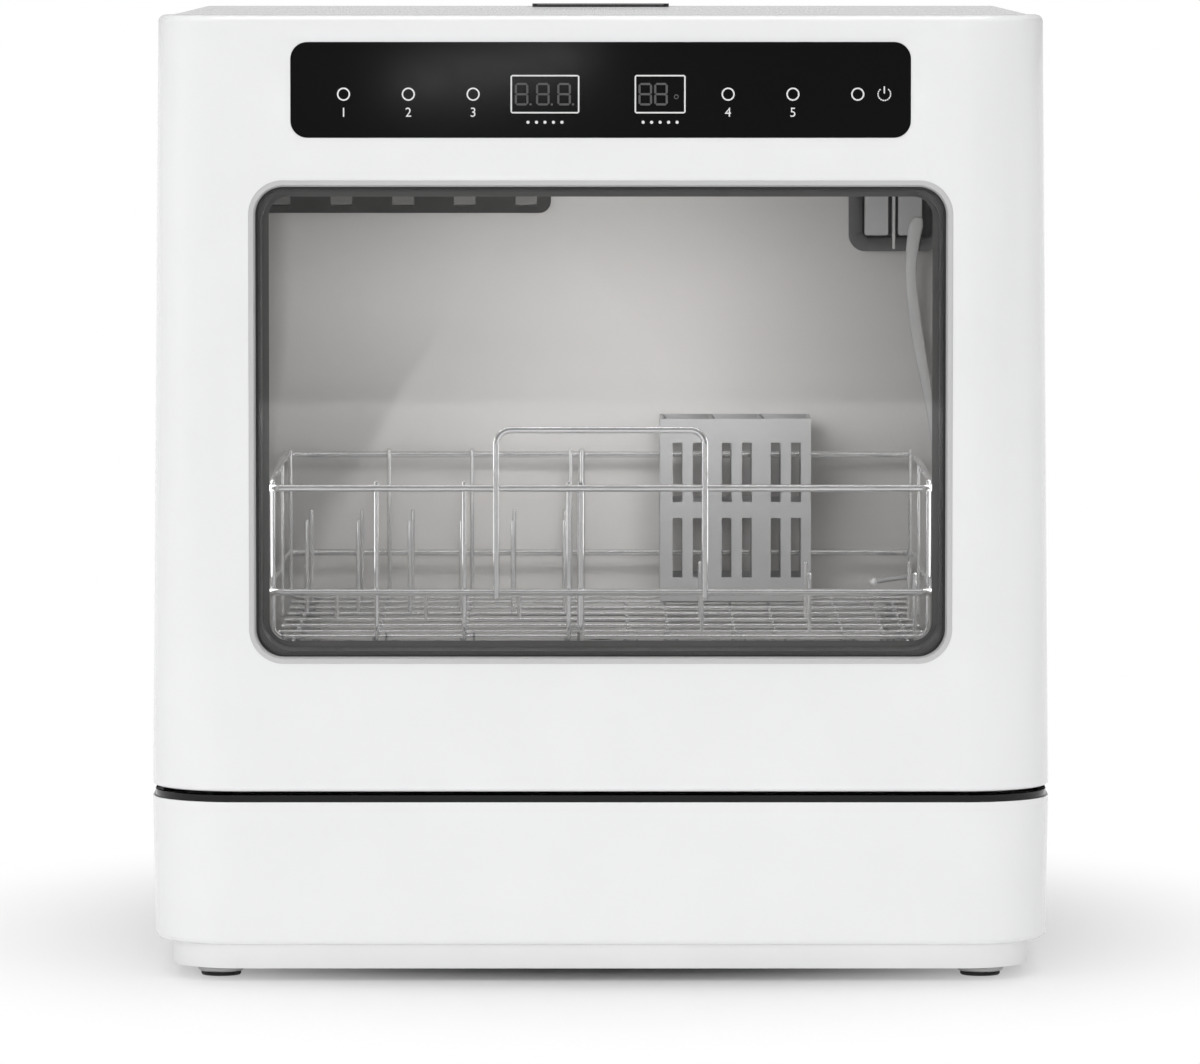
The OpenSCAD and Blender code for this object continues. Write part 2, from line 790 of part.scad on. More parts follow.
outlet_x0 = 3 - tub_hw;
outlet_x1 = outlet_x0 + outlet_w;
outlet_z0 = tub_z1 - outlet_h;
outlet_tabs = [for (i = [0:4]) outlet_x0 + 3 + i * outlet_pitch];

module air_outlet() {
    color("dimgray")
        difference() {
            front_prism(concat(
                arc(outlet_x1 - 6, outlet_z0 + 6, 6, 270, 360, 6),
                [[outlet_x1, tub_z1 - 8], [outlet_x0 + 14, tub_z1 - 8],
                 [outlet_x0, tub_z1 - 24], [outlet_x0, outlet_z0]]),
                tub_d1 - 9, tub_d1 - 0.2);
            for (x = outlet_tabs)
                block(x, x + outlet_slot_w, tub_d1 - 10, tub_d1 + 1, outlet_z0 + 3.6,
                      tub_z1 - 12);
        }
}

feed_x = tub_hw - 15;
inlet_box_x = tub_hw - inlet_box_hw - 2.1;
inlet_box_z0 = tub_z1 - inlet_box_h;

module water_inlet_box() {
    x0 = inlet_box_x - inlet_box_hw;
    x1 = inlet_box_x + inlet_box_hw;
    color("dimgray")
        difference() {
            front_prism(round_rect(x0, x1, inlet_box_z0, tub_z1 - 10, 8),
                        tub_d1 - inlet_box_d, tub_d1 - 0.2);
            front_prism(round_rect(x0 + 6.5, x1 - 3.5, inlet_box_z0 + 6.5, tub_z1 - 13, 4),
                        tub_d1 - inlet_box_d - 1, tub_d1 - 3);
        }
    color("gainsboro") {
        for (x = [x0 + 8, inlet_box_x + 1.9])
            block(x, x + inlet_box_hw / 2, tub_d1 - inlet_box_d + 2, tub_d1 - 3,
                  inlet_box_z0 + 8.3, tub_z1 - 13);
    }
}

// Gentle bends of the flat feed pipe, seen from the front: distance from the tub's side, and
// the share of its length from the box down to its foot
pipe_bends = [[14.5, 0], [15, 0.03], [16.5, 0.065], [19, 0.135], [19.5, 0.19], [18, 0.26],
              [15.5, 0.335], [12.5, 0.42], [9.5, 0.53], [8, 0.635], [8.5, 0.73], [10, 0.83],
              [11.5, 0.91], [12, 0.955], [12, 1]];
pipe_len = inlet_box_z0 - tub_z0 - pipe_foot;
pipe_route = [for (b = pipe_bends) [tub_hw - b[0], inlet_box_z0 - b[1] * pipe_len]];
pipe_d = tub_d1 - 10;
pipe_sides = 10;

// Sweeps an oval along the route
module feed_pipe() {
    n = len(pipe_route);
    ring = function (i)
        let (p = pipe_route[i],
             a = pipe_route[max(i - 1, 0)],
             b = pipe_route[min(i + 1, n - 1)],
             t = (b - a) / norm(b - a),
             side = [t[1], -t[0]])
        [for (k = [0:pipe_sides - 1])
            let (w = pipe_w / 2 * cos(360 * k / pipe_sides),
                 h = pipe_t / 2 * sin(360 * k / pipe_sides))
            [p[0] + side[0] * w, front_y + pipe_d + h, p[1] + side[1] * w]];
    points = [for (i = [0:n - 1]) each ring(i)];
    side_faces = [for (i = [0:n - 2]) for (k = [0:pipe_sides - 1])
        let (a = i * pipe_sides + k,
             b = i * pipe_sides + (k + 1) % pipe_sides)
        each [[a, b, b + pipe_sides], [a, b + pipe_sides, a + pipe_sides]]];
    caps = [for (k = [1:pipe_sides - 2]) each
        [[0, k + 1, k],
         [(n - 1) * pipe_sides, (n - 1) * pipe_sides + k, (n - 1) * pipe_sides + k + 1]]];
    color("gainsboro") polyhedron(points, concat(side_faces, caps));
}

probe_seat_t = 4;
probe_seat_r = 7;

// The probe's tip lies behind the basket's last upright and under its rails
module level_probe() {
    d = basket_d1 - 6;
    z = tub_z0 + probe_rise;
    color("gainsboro") {
        translate([tub_hw - probe_seat_t - probe_reach, front_y + d, z]) {
            sphere(r = 2.2);
            rotate([0, 90 - probe_slope, 0])
                cylinder(r = 1.4, h = probe_reach / cos(probe_slope) + 1);
        }
        rod_x(tub_hw - probe_seat_t, tub_hw, d, z + probe_reach * tan(probe_slope), probe_seat_r);
    }
}

// --- Sump, filter, spray arm ---

module sump() {
    color("dimgray")
        difference() {
            union() {
                rod_z(0, tub_mid_d, tub_z0 - tub_t - 3, tub_z0 - tub_t, sump_r + 8);
                rod_z(0, tub_mid_d, sump_z0, tub_z0 - tub_t, sump_r + sump_t);
                rod_x(-sump_r - sump_spout, -sump_r + 4, tub_mid_d, wash_z, 14);
                rod_x(sump_r - 8, sump_r + sump_spout, tub_mid_d, drain_z, 10);
                rod_y(0, tub_mid_d + sump_r - 4, sump_port_d, wash_z, 11);
            }
            rod_z(0, tub_mid_d, sump_z0 + sump_t, tub_z0 + 1, sump_r);
            rod_x(-sump_r - sump_spout - 1, -sump_r + 12, tub_mid_d, wash_z, 11);
            rod_x(sump_r - 12, sump_r + sump_spout + 1, tub_mid_d, drain_z, 7.5);
        }
}

filter_hole_r = 2.2;

module filter_plate() {
    color("silver")
        difference() {
            union() {
                rod_z(0, tub_mid_d, tub_z0 - filter_t, tub_z0, sump_r - 0.3);
                rod_z(0, tub_mid_d, tub_z0, tub_z0 + 1.2, sump_r + 5);
            }
            rod_z(0, tub_mid_d, tub_z0 - 4, tub_z0 + 3, cup_r + 0.3);
            // Rows of drain holes
            for (ring = [[33, 18], [40, 22], [47, 26], [54, 30]])
                for (i = [0:ring[1] - 1])
                    translate([ring[0] * cos(360 * i / ring[1]),
                               front_y + tub_mid_d + ring[0] * sin(360 * i / ring[1]),
                               tub_z0 - 4])
                        cylinder(r = filter_hole_r, h = 8, $fn = 16);
        }
}

module filter_cup() {
    color("dimgray")
        translate([0, front_y + tub_mid_d, tub_z0 - cup_h])
            difference() {
                union() {
                    cylinder(r = cup_r, h = cup_h + 1.3);
                    translate([0, 0, cup_h + 1.2]) cylinder(r = cup_r + 4, h = 1.6);
                }
                translate([0, 0, 2]) cylinder(r = cup_r - 2, h = cup_h + 6);
                // Open windows in the cup's wall
                for (i = [0:9])
                    rotate([0, 0, 36 * i])
                        translate([cup_r - 6, -4.5, 6]) cube([12, 9, cup_h - 14]);
            }
}

module spray_post() {
    color("dimgray")
        translate([0, front_y + tub_mid_d, 0]) {
            // Fixed riser that carries the arm, with its three legs on the plate
            translate([0, 0, tub_z0 - cup_h + 2]) cylinder(r = post_r - 1.5, h = cup_h - 2 + arm_rise - 2);
            translate([0, 0, tub_z0 + arm_rise - 2 - eps]) cylinder(r = post_r + 3, h = 1.6);
            translate([0, 0, tub_z0 + arm_rise - 1])
                cylinder(r = post_r, h = arm_t + 3);
        }
}

// Outline of the spray arm seen from above, drawn in by an inset
module spray_outline(inset) {
    tip_r = arm_w * 0.31 - inset;
    hub = arm_w * 0.7;
    half = arm_w / 2 - inset;
    polygon(concat(
        arc(arm_r - arm_w * 0.31, 0, tip_r, -90, 90, 10), [[hub, half], [-hub, half]],
        arc(arm_w * 0.31 - arm_r, 0, tip_r, 90, 270, 10), [[-hub, -half], [hub, -half]]));
}

jet_xs = [for (s = [-1, 1]) for (i = [0:4]) s * (36 + i * (arm_r - 50) / 4)];

module lower_spray_arm() {
    color("lightgray")
        translate([0, front_y + tub_mid_d, tub_z0 + arm_rise])
            difference() {
                union() {
                    // Two shells, welded along the seam at half the height
                    linear_extrude(arm_t) spray_outline(arm_seam);
                    translate([0, 0, arm_t / 2 - 0.6]) linear_extrude(1.2) spray_outline(0);
                    cylinder(r = arm_w / 2 + 2, h = arm_t + 1.5);
                    for (x = jet_xs)
                        translate([x, x > 0 ? 3 : -3, arm_t]) cylinder(r1 = 4, r2 = 3, h = 1, $fn = 24);
                }
                translate([0, 0, -1]) cylinder(r = post_r + arm_gap, h = arm_t + 4);
                for (x = jet_xs)
                    translate([x, x > 0 ? 3 : -3, arm_t - 2]) cylinder(r = 1.3, h = 5, $fn = 16);
            }
}

// --- Machinery in the base ---

wash_pump_x = -sump_r - sump_spout;
wash_port_x = wash_pump_x - volute_w / 2;
wash_port_d = tub_mid_d + volute_r + 9;

module wash_pump() {
    motor_x = wash_pump_x - volute_w;
    color("dimgray")
        difference() {
            union() {
                rod_x(motor_x, wash_pump_x, tub_mid_d, wash_z, volute_r);
                rod_x(motor_x - motor_l, motor_x + eps, tub_mid_d, wash_z, motor_r);
                rod_y(wash_port_x, tub_mid_d, wash_port_d, wash_z, 9);
                // Cradle on the floor of the base
                block(motor_x - motor_l + 8, motor_x - 10, tub_mid_d - motor_r + 8,
                      tub_mid_d + motor_r - 8, base_floor_z, wash_z - motor_r + 12);
            }
            // Grooves between the motor's rings
            for (i = [0:4]) {
                x = motor_x - motor_l + 6 + i * 11;
                difference() {
                    rod_x(x, x + 6, tub_mid_d, wash_z, motor_r + 4);
                    rod_x(x - 2, x + 8, tub_mid_d, wash_z, motor_r - 2);
                }
            }
        }
}

drain_port_d = tub_mid_d + drain_pump_r + 9;

module drain_pump() {
    x = drain_pump_x;
    color("dimgray") {
        rod_x(x, x + drain_out - 4, tub_mid_d, drain_z, drain_pump_r);
        rod_x(x + drain_out - 4 - eps, x + drain_out + 42, tub_mid_d, drain_z, drain_motor_r);
        rod_y(drain_x, tub_mid_d, drain_port_d, drain_z, drain_r - 2);
        block(x + 4, x + drain_out + 34, tub_mid_d - drain_motor_r + 2,
              tub_mid_d + drain_motor_r - 2, base_floor_z, drain_z - drain_motor_r + 5);
    }
}

heater_spout = 14;
heater_x0 = wash_pump_x - 60;
heater_x1 = -heater_bend - heater_spout;
sump_port_d = tub_mid_d + sump_r + 10;
heater_d = sump_port_d + heater_bend;

module heater() {
    color("silver") {
        rod_x(heater_x0, heater_x1, heater_d, wash_z, heater_r);
        rod_x(heater_x0 - 5, heater_x0 + eps, heater_d, wash_z, heater_r + 3);
        rod_x(heater_x1 - eps, heater_x1 + 5, heater_d, wash_z, heater_r + 3);
        rod_x(heater_x1, -heater_bend, heater_d, wash_z, 9);
        rod_y(wash_port_x, heater_d - heater_bend, heater_d, wash_z, 9);
    }
    color("dimgray")
        for (x = [heater_x0 + 20, heater_x1 - 26])
            difference() {
                block(x, x + 8, heater_d - heater_r + 2, heater_d + heater_r - 2, base_floor_z,
                      wash_z - 4);
                rod_x(x - 1, x + 9, heater_d, wash_z, heater_r - eps);
            }
}

module wash_hose() {
    color("black") rod_y(wash_port_x, wash_port_d, heater_d - heater_bend, wash_z, 11);
}

// Quarter bend from the heater's spout to the sump
module supply_hose() {
    color("black")
        translate([-heater_bend, front_y + sump_port_d, wash_z])
            rotate_extrude(angle = 90) translate([heater_bend, 0]) circle(r = 9.5);
}

module drain_hose() {
    color("black")
        difference() {
            rod_y(drain_x, drain_port_d, connector_d, drain_z, drain_r);
            rod_y(drain_x, drain_port_d - 1, connector_d + 1, drain_z, drain_r - 2);
        }
}

valve_d = body_d - wall - 28;
valve_top_z = drain_z + 17;
valve_spout_z = drain_z + 26;
tank_barb_z = tank_z0 - 5;

module inlet_valve() {
    color("whitesmoke") {
        block(inlet_x - 22, inlet_x + 22, valve_d - 12, connector_d, base_floor_z, valve_top_z);
        rod_z(inlet_x, valve_d, valve_top_z - eps, valve_spout_z, 6);
    }
}

module inlet_hose() {
    color("black") rod_z(inlet_x, valve_d, valve_spout_z, tank_barb_z, 7.5);
}

module power_board() {
    d1 = tub_mid_d - sump_r - 20;
    d0 = d1 - power_d;
    z = base_floor_z + 8;
    top = z + board_t - eps;
    color("darkgreen") block(-power_w / 2, power_w / 2, d0, d1, z, z + board_t);
    // Posts, and the relay, transformer and capacitor on the board
    color("dimgray") {
        for (x = [-1, 1] * (power_w / 2 - 6))
            for (d = [d0 + 6, d1 - 6])
                rod_z(x, d, base_floor_z, z, 3);
        block(-50, -22, d0 + 12, d0 + 46, top, top + 22);
        block(10, 34, d0 + 12, d0 + 30, top, top + 16);
        rod_z(52, d1 - 20, top, top + 24, 8);
    }
}

module vent_fan() {
    base_d = tub_d1 + tub_t;
    edge = fan_r + 6;
    color("dimgray")
        difference() {
            union() {
                rod_y(-fan_x, base_d + 8, rear_d - 14, fan_z, fan_r);
                block(-fan_x - edge, edge - fan_x, base_d, base_d + 8.1, fan_z - edge,
                      fan_z + fan_r);
            }
            rod_y(-fan_x, rear_d - 40, rear_d - 13, fan_z, fan_r - 4);
            // Gaps between the blades
            for (i = [0:11])
                translate([-fan_x, front_y + rear_d - 45, fan_z])
                    rotate([0, 30 * i, 0])
                        translate([12, -20, -1.5]) cube([fan_r - 20, 30, 3]);
        }
}

// --- Tank, filling port and lid ---

module water_tank() {
    outer = round_rect(-tank_hw, tank_hw, tank_z0, tank_z1, 10);
    inner = round_rect(tank_t - tank_hw, tank_hw - tank_t, tank_z0 + tank_t, tank_z1 - tank_t, 8);
    color("lightsteelblue")
        difference() {
            union() {
                front_prism(outer, tank_d0, tank_d1);
                // Neck round the port's skirt, and the barbs for hose and feed
                block(-port_hw - 5, port_hw + 5, port_d0 - 5, port_d1 + 5, tank_z1 - 1,
                      tank_z1 + 2.5);
                rod_z(inlet_x, valve_d, tank_barb_z, tank_z0 + 1, 6);
                rod_z(feed_x, tub_d1 - 14, tank_z0 - 4, tank_z0 + 1, 4.5);
            }
            front_prism(inner, tank_d0 + tank_t, tank_d1 - tank_t);
            block(-port_hw - 3, port_hw + 3, port_d0 - 3, port_d1 + 3, tank_z1 - tank_t - 1,
                  tank_z1 + 4);
        }
}

module inlet_collar() {
    rim_x = lid_hw + 1.8;
    d0 = lid_d0 - 2.3;
    d1 = barrel_d + barrel_r + 3.8;
    color("white")
        difference() {
            union() {
                block(-rim_x, rim_x, d0, d1, body_h - wall - eps, body_h);
                block(-rim_x - 5, rim_x + 5, d0 - 5, d1 + 1.5, body_h - wall - 2, body_h - wall);
                block(-port_hw - 2, port_hw + 2, port_d0 - 2, port_d1 + 2,
                      body_h - port_skirt, body_h - wall);
                block(-barrel_hw - 6, barrel_hw + 6, port_d1 + 1, d1, body_h - 8.2, body_h - wall);
            }
            block(-port_hw, port_hw, port_d0, port_d1, body_h - port_skirt - 1, body_h + 1);
            block(-barrel_hw - 0.5, barrel_hw + 0.5, barrel_d - barrel_r - 0.9,
                  barrel_d + barrel_r + 2.2, body_h - 7.2, body_h + 1);
            rod_x(-barrel_hw - 4, barrel_hw + 4, barrel_d, barrel_z, lid_pin_r + 0.02);
        }
}

module lid_pin() {
    color("silver") rod_x(-barrel_hw - 3.8, barrel_hw + 3.8, barrel_d, barrel_z, lid_pin_r);
}

module inlet_lid() {
    z0 = body_h + lid_gap;
    d1 = lid_d0 + lid_len;
    color("black")
        difference() {
            union() {
                translate([0, front_y, z0])
                    linear_extrude(lid_t)
                        translate([0, lid_d0])
                            polygon(round_rect(-lid_hw, lid_hw, 0, lid_len, 3, 6));
                // Plug that closes the port
                block(-port_hw + 1, port_hw - 1, port_d0 + 1, port_d1 - 1, z0 - 4, z0 + eps);
                rod_x(-barrel_hw, barrel_hw, barrel_d, barrel_z, barrel_r);
                block(-barrel_hw, barrel_hw, d1 - 3, barrel_d, z0, z0 + lid_t);
            }
            rod_x(-barrel_hw - 1, barrel_hw + 1, barrel_d, barrel_z, lid_pin_r + 0.05);
            block(-port_hw + 3, port_hw - 3, port_d0 + 3, port_d1 - 3, z0 - 5, z0 - eps);
        }
}

// --- Rear connections ---

connector_d = body_d - wall - 12;

module inlet_connector() {
    color("silver")
        difference() {
            union() {
                rod_y(inlet_x, connector_d, body_d + rear_reach, drain_z, inlet_r);
                rod_y(inlet_x, body_d, body_d + 2.5, drain_z, inlet_r + 4);
            }
            rod_y(inlet_x, body_d - wall, body_d + rear_reach + 1, drain_z, inlet_r - 3.4);
        }
}

module drain_connector() {
    color("dimgray")
        difference() {
            union() {
                rod_y(drain_x, connector_d, body_d + rear_reach, drain_z, drain_r);
                rod_y(drain_x, body_d, body_d + 2.5, drain_z, drain_r + 4);
            }
            rod_y(drain_x, connector_d - 1, body_d + rear_reach + 1, drain_z, drain_r - 2.4);
        }
}

module cord_gland() {
    color("black")
        difference() {
            union() {
                rod_y(-inlet_x, body_d - wall - 6, body_d + 5, drain_z, gland_r);
                rod_y(-inlet_x, body_d, body_d + 2, drain_z, gland_r + 3);
            }
            rod_y(-inlet_x, body_d - wall - 7, body_d + 6, drain_z, gland_bore_r);
        }
}

// --- Hinges and latch ---

module hinge_brackets() {
    color("silver")
        both_sides()
            difference() {
                union() {
                    rod_x(hinge_x - tongue_t / 2, hinge_x + tongue_t / 2, hinge_d, hinge_z, eye_r);
                    block(hinge_x - tongue_t / 2, hinge_x + tongue_t / 2, hinge_d, tub_d0 + 3,
                          hinge_z - eye_r, hinge_z + eye_r);
                    block(hinge_x - 9, hinge_x + 9, tub_d0, tub_d0 + 3, door_z0 + 4, hinge_z + 18);
                }
                rod_x(hinge_x - 9, hinge_x + 9, hinge_d, hinge_z, pin_r + 0.02);
            }
}

pin_hw = tongue_t / 2 + cheek_gap + cheek_t + 1.2;

module hinge_pins() {
    color("silver")
        both_sides() {
            rod_x(hinge_x - pin_hw, hinge_x + pin_hw, hinge_d, hinge_z, pin_r);
            rod_x(hinge_x - pin_hw - 1, hinge_x - pin_hw + 0.6, hinge_d, hinge_z, pin_r + 1);
        }
}

module hinge_arms() {
    inner = tongue_t / 2 + cheek_gap;
    plate_d = liner_d - liner_t;
    color("gray")
        both_sides()
            difference() {
                union() {
                    for (s = [-1, 1]) {
                        x0 = hinge_x + (s > 0 ? inner : -inner - cheek_t);
                        rod_x(x0, x0 + cheek_t, hinge_d, hinge_z, eye_r);
                        translate([x0, front_y, 0])
                            rotate([90, 0, 90])
                                linear_extrude(cheek_t)
                                    polygon([[hinge_d, hinge_z - eye_r],
                                             [plate_d - 6, hinge_z - eye_r + 1],
                                             [plate_d, hinge_z + 6],
                                             [plate_d, hinge_z + arm_h],
                                             [plate_d - 10, hinge_z + arm_h],
                                             [hinge_d - 4, hinge_z + 6],
                                             [hinge_d - eye_r, hinge_z]]);
                    }
                    block(hinge_x - inner - cheek_t, hinge_x + inner + cheek_t, plate_d - 2.5,
                          plate_d, hinge_z + 9, hinge_z + arm_h);
                }
                rod_x(hinge_x - 10, hinge_x + 10, hinge_d, hinge_z, pin_r + pin_gap);
            }
}

hook_tip_d = liner_d + hook_reach;

module door_hook() {
    color("silver") {
        block(-hook_hw, hook_hw, liner_d, hook_tip_d, hook_z, hook_z + hook_t);
        block(-hook_hw, hook_hw, hook_tip_d - 4, hook_tip_d, hook_z - hook_lip, hook_z + hook_t);
        block(-hook_hw - 8, hook_hw + 8, liner_d, liner_d + 1.6, hook_z - 5, hook_z + 7);
    }
}

// Housing behind the frame, open on top under the frame's skirt
module door_catch() {
    hw = hook_hw + hook_side;
    z0 = hook_z - hook_lip - catch_gap;
    z1 = hook_z + hook_t + catch_gap;
    color("dimgray")
        difference() {
            block(-hw - catch_wall, hw + catch_wall, tub_d0, hook_tip_d + 2 * catch_wall,
                  z0 - catch_wall, z1);
            block(-hw, hw, tub_d0 - 1, hook_tip_d + catch_wall, z0, z1 + 1);
        }
}

// --- Door ---

module cap_solid() {
    hull() {
        for (i = [0:4]) {
            low = door_low_r * (1 - sin(22.5 * i));
            high = door_top_r * (1 - sin(22.5 * i));
            z_low = door_z0 + door_low_r * (1 - cos(22.5 * i));
            z_high = body_h - door_top_r * (1 - cos(22.5 * i)) - eps;
            slice(plan(half_at(z_low) - low, low, cap_d, corner_r - low), z_low);
            slice(plan(half_at(z_high) - high, high, cap_d, corner_r - high), z_high);
        }
    }
}

boss_r = 3.6;
boss_in = 27;
boss_d0 = 4.4;
boss_zs = [for (i = [0:3]) door_z0 + 48 + i * (body_h - door_z0 - 103) / 3];

// The liner's screws, beside the window; they follow the casing's draft
module at_bosses() {
    both_sides()
        for (z = boss_zs)
            translate([half_at(z) - boss_in, 0, z]) children();
}

module door_shell() {
    color("white")
        union() {
            difference() {
                cap_solid();
                hull() {
                    slice(plan(half_at(door_z0) - wall, wall, cap_d + 1, corner_r - wall),
                          door_z0 + wall);
                    slice(plan(half_at(body_h) - wall, wall, cap_d + 1, corner_r - wall),
                          body_h - wall);
                }
                // Window, control panel and its ledge
                front_prism(round_rect(-opening_hw, opening_hw, window_z0 + trim_lap,
                                       window_z1 - trim_lap, window_r - trim_lap),
                            -1, wall + 1);
                front_prism(round_rect(-fascia_hw - 0.1, fascia_hw + 0.1, fascia_z0 - 0.1,
                                       fascia_z0 + fascia_h + 0.1, fascia_r),
                            -1, fascia_t - fascia_proud);
                front_prism(round_rect(fascia_ledge - fascia_hw, fascia_hw - fascia_ledge,
                                       fascia_z0 + fascia_ledge,
                                       fascia_z0 + fascia_h - fascia_ledge, 5), -1, wall + 1);
                // The lower wall stops short, so that the door can turn
                block(wall + 2 - half_at(door_z0), half_at(door_z0) - wall - 2, low_wall_d,
                      cap_d + 1, door_z0 - 1, door_z0 + wall + 1);
                both_sides() {
                    hinge_slot(wall + 0.5, low_wall_d + 1, door_z0 - 1);
                    corner_relief();
                }
            }
            // Screw bosses for the liner
            at_bosses()
                difference() {
                    rod_y(0, boss_d0, liner_d - liner_t, 0, boss_r);
                    rod_y(0, boss_d0 + 5, liner_d, 0, 1.3);
                }
        }
}

// Rounds the lower back corner of the cap's side
module corner_relief() {
    difference() {
        block(half_at(door_z0) - wall - 3, seam_w, cap_d - relief_r, cap_d + 1, door_z0 - 1,
              door_z0 + relief_r);
        rod_x(half_at(door_z0) - wall - 4, seam_w + 1, cap_d - relief_r, door_z0 + relief_r,
              relief_r);
    }
}

module door_liner() {
    pane_z0 = window_z0 + trim_lap - pane_lap;
    pane_z1 = window_z1 - trim_lap + pane_lap;
    clear_in = spacer_w + 1.9;
    color("whitesmoke")
        difference() {
            union() {
                front_prism(casing_outline(liner_inset, door_z0 + wall + 0.5),
                            liner_d - liner_t, liner_d);
                // Rim that holds the inner pane
                front_ring(round_rect(-pane_hw - 2.4, pane_hw + 2.4, pane_z0 - 2.4,
                                      pane_z1 + 2.4, window_r + 4),
                           round_rect(-pane_hw - 0.3, pane_hw + 0.3, pane_z0 - 0.3,
                                      pane_z1 + 0.3, window_r + 2),
                           inner_pane_d - 2, liner_d - liner_t + eps);
            }
            front_prism(round_rect(clear_in - pane_hw, pane_hw - clear_in, pane_z0 + clear_in,
                                   pane_z1 - clear_in, window_r - 4),
                        liner_d - liner_t - 1, liner_d + 1);
            both_sides() hinge_slot(liner_d - liner_t - 1, liner_d + 1, door_z0);
            at_bosses() rod_y(0, liner_d - liner_t - 1, liner_d + 1, 0, 1.8);
        }
}

module liner_screws() {
    color("silver")
        at_bosses() {
            rod_y(0, liner_d, liner_d + 1.4, 0, 3.2);
            rod_y(0, boss_d0 + 10, liner_d + eps, 0, 1.25);
        }
}

module window_trim() {
    color("lightgray")
        difference() {
            union() {
                front_prism(round_rect(-window_hw, window_hw, window_z0, window_z1, window_r, 12),
                            -trim_proud, 0);
                front_prism(round_rect(0.1 - opening_hw, opening_hw - 0.1,
                                       window_z0 + trim_lap + 0.1, window_z1 - trim_lap - 0.1,
                                       window_r - trim_lap, 12), -eps, pane_d0);
            }
            front_prism(round_rect(-trim_in, trim_in, window_z0 + trim_w, window_z1 - trim_w,
                                   window_r - trim_w, 12), -trim_proud - 1, pane_d0 + 1);
        }
}

// Outline shared by both panes and the spacer, drawn in by an inset
function pane_outline(inset) =
    round_rect(inset - pane_hw, pane_hw - inset, window_z0 + trim_lap - pane_lap + inset,
               window_z1 - trim_lap + pane_lap - inset, window_r + 2 - inset / 2, 10);

module outer_glass() {
    color("lightsteelblue", 0.35) front_prism(pane_outline(0), pane_d0, spacer_d0);
}

module glazing_spacer() {
    color("black") front_ring(pane_outline(0), pane_outline(spacer_w), spacer_d0, inner_pane_d);
}

module inner_glass() {
    color("lightsteelblue", 0.35)
        front_prism(pane_outline(0), inner_pane_d, inner_pane_d + inner_pane_t);
}

// --- Control panel ---

module control_fascia() {
    color("black")
        front_prism(round_rect(-fascia_hw, fascia_hw, fascia_z0, fascia_z0 + fascia_h, fascia_r,
                               10), -fascia_proud, fascia_t - fascia_proud);
}

module control_board() {
    hw = fascia_hw - fascia_ledge - 3;
    post_x = hw - 9;
    color("darkgreen") {
        front_prism(round_rect(-hw, hw, fascia_z0 + 7.5, fascia_z0 + fascia_h - 7.5, 3),
                    board_d, board_d + board_t);
        block(-24, 20, board_d + board_t - eps, board_d + board_t + 3, fascia_z0 + 14,
              fascia_z0 + 28);
    }
    // Posts between the panel and the board, and the touch keys' contact springs
    color("dimgray")
        for (x = [-post_x, -44, 44, post_x])
            rod_y(x, fascia_t - fascia_proud, board_d + eps, fascia_z0 + fascia_h - 11, 2);
    color("silver")
        for (x = key_xs)
            rod_y(x, fascia_t - fascia_proud, board_d + eps, key_z, key_r);
}

module display_modules() {
    color("dimgray")
        for (m = [[display_a_x, display_a_w], [display_b_x, display_b_w]])
            block(m[0] - m[1] / 2, m[0] + m[1] / 2, fascia_t - fascia_proud + 0.2, board_d,
                  key_z - display_h / 2, key_z + display_h / 2);
}

// --- Basket ---

// Closed wire loop in a level plane
module wire_loop(hw, d0, d1, z, bend, r) {
    for (d = [d0, d1]) rod_x(bend - hw, hw - bend, d, z, r);
    for (x = [-hw, hw]) rod_y(x, d0 + bend, d1 - bend, z, r);
    for (c = [[hw, d0, 270], [-hw, d0, 180], [-hw, d1, 90], [hw, d1, 0]])
        translate([c[0] - sign(c[0]) * bend, front_y + (c[1] == d0 ? d0 + bend : d1 - bend), z])
            rotate([0, 0, c[2]])
                rotate_extrude(angle = 90) translate([bend, 0]) circle(r = r, $fn = 24);
}

module basket_rails() {
    color("silver") {
        wire_loop(basket_hw, basket_front, basket_d1, top_rail_z, basket_r, rail_r);
        wire_loop(basket_hw, basket_front, basket_d1, low_rail_z, basket_r, rail_r);
    }
}

// Leg at the front (s = 1) or back (s = -1) end of a floor wire, with the bend under it
module wire_leg(x, d, z, top, s, r) {
    rod_z(x, d, z + leg_bend, top, r);
    translate([x, front_y + d + s * leg_bend, z + leg_bend])
        rotate([0, 90, 0])
            rotate([0, 0, s > 0 ? 270 : 0])
                rotate_extrude(angle = 90) translate([leg_bend, 0]) circle(r = r, $fn = 24);
}

// Wires that also show as uprights in front, and those of the right half
upright_xs = [-107.5, -65.4, -15.3];
low_xs = [13, 32.4, 65.2, 84.6, 117.6, 137];
wire_in = rail_r + thin_r;
leg_bend = 5;
leg_top = top_rail_z + 3.4;
leg_d0 = basket_front + wire_in;
leg_d1 = basket_d1 - wire_in;
// The divider is a thicker wire beside the last thin upright
divider_x = -9.6;
divider_r = rail_r + 0.25;
divider_z = long_z + divider_r - thin_r;
divider_d0 = basket_front + rail_r + divider_r + 0.05;
divider_d1 = basket_d1 - rail_r - divider_r - 0.05;
side_ds = [basket_front + 12, (basket_front + basket_d1) / 2, basket_d1 - 12];
cross_ds = [for (i = [0:5]) basket_front + 40 + i * (basket_d1 - basket_front - 80) / 5];

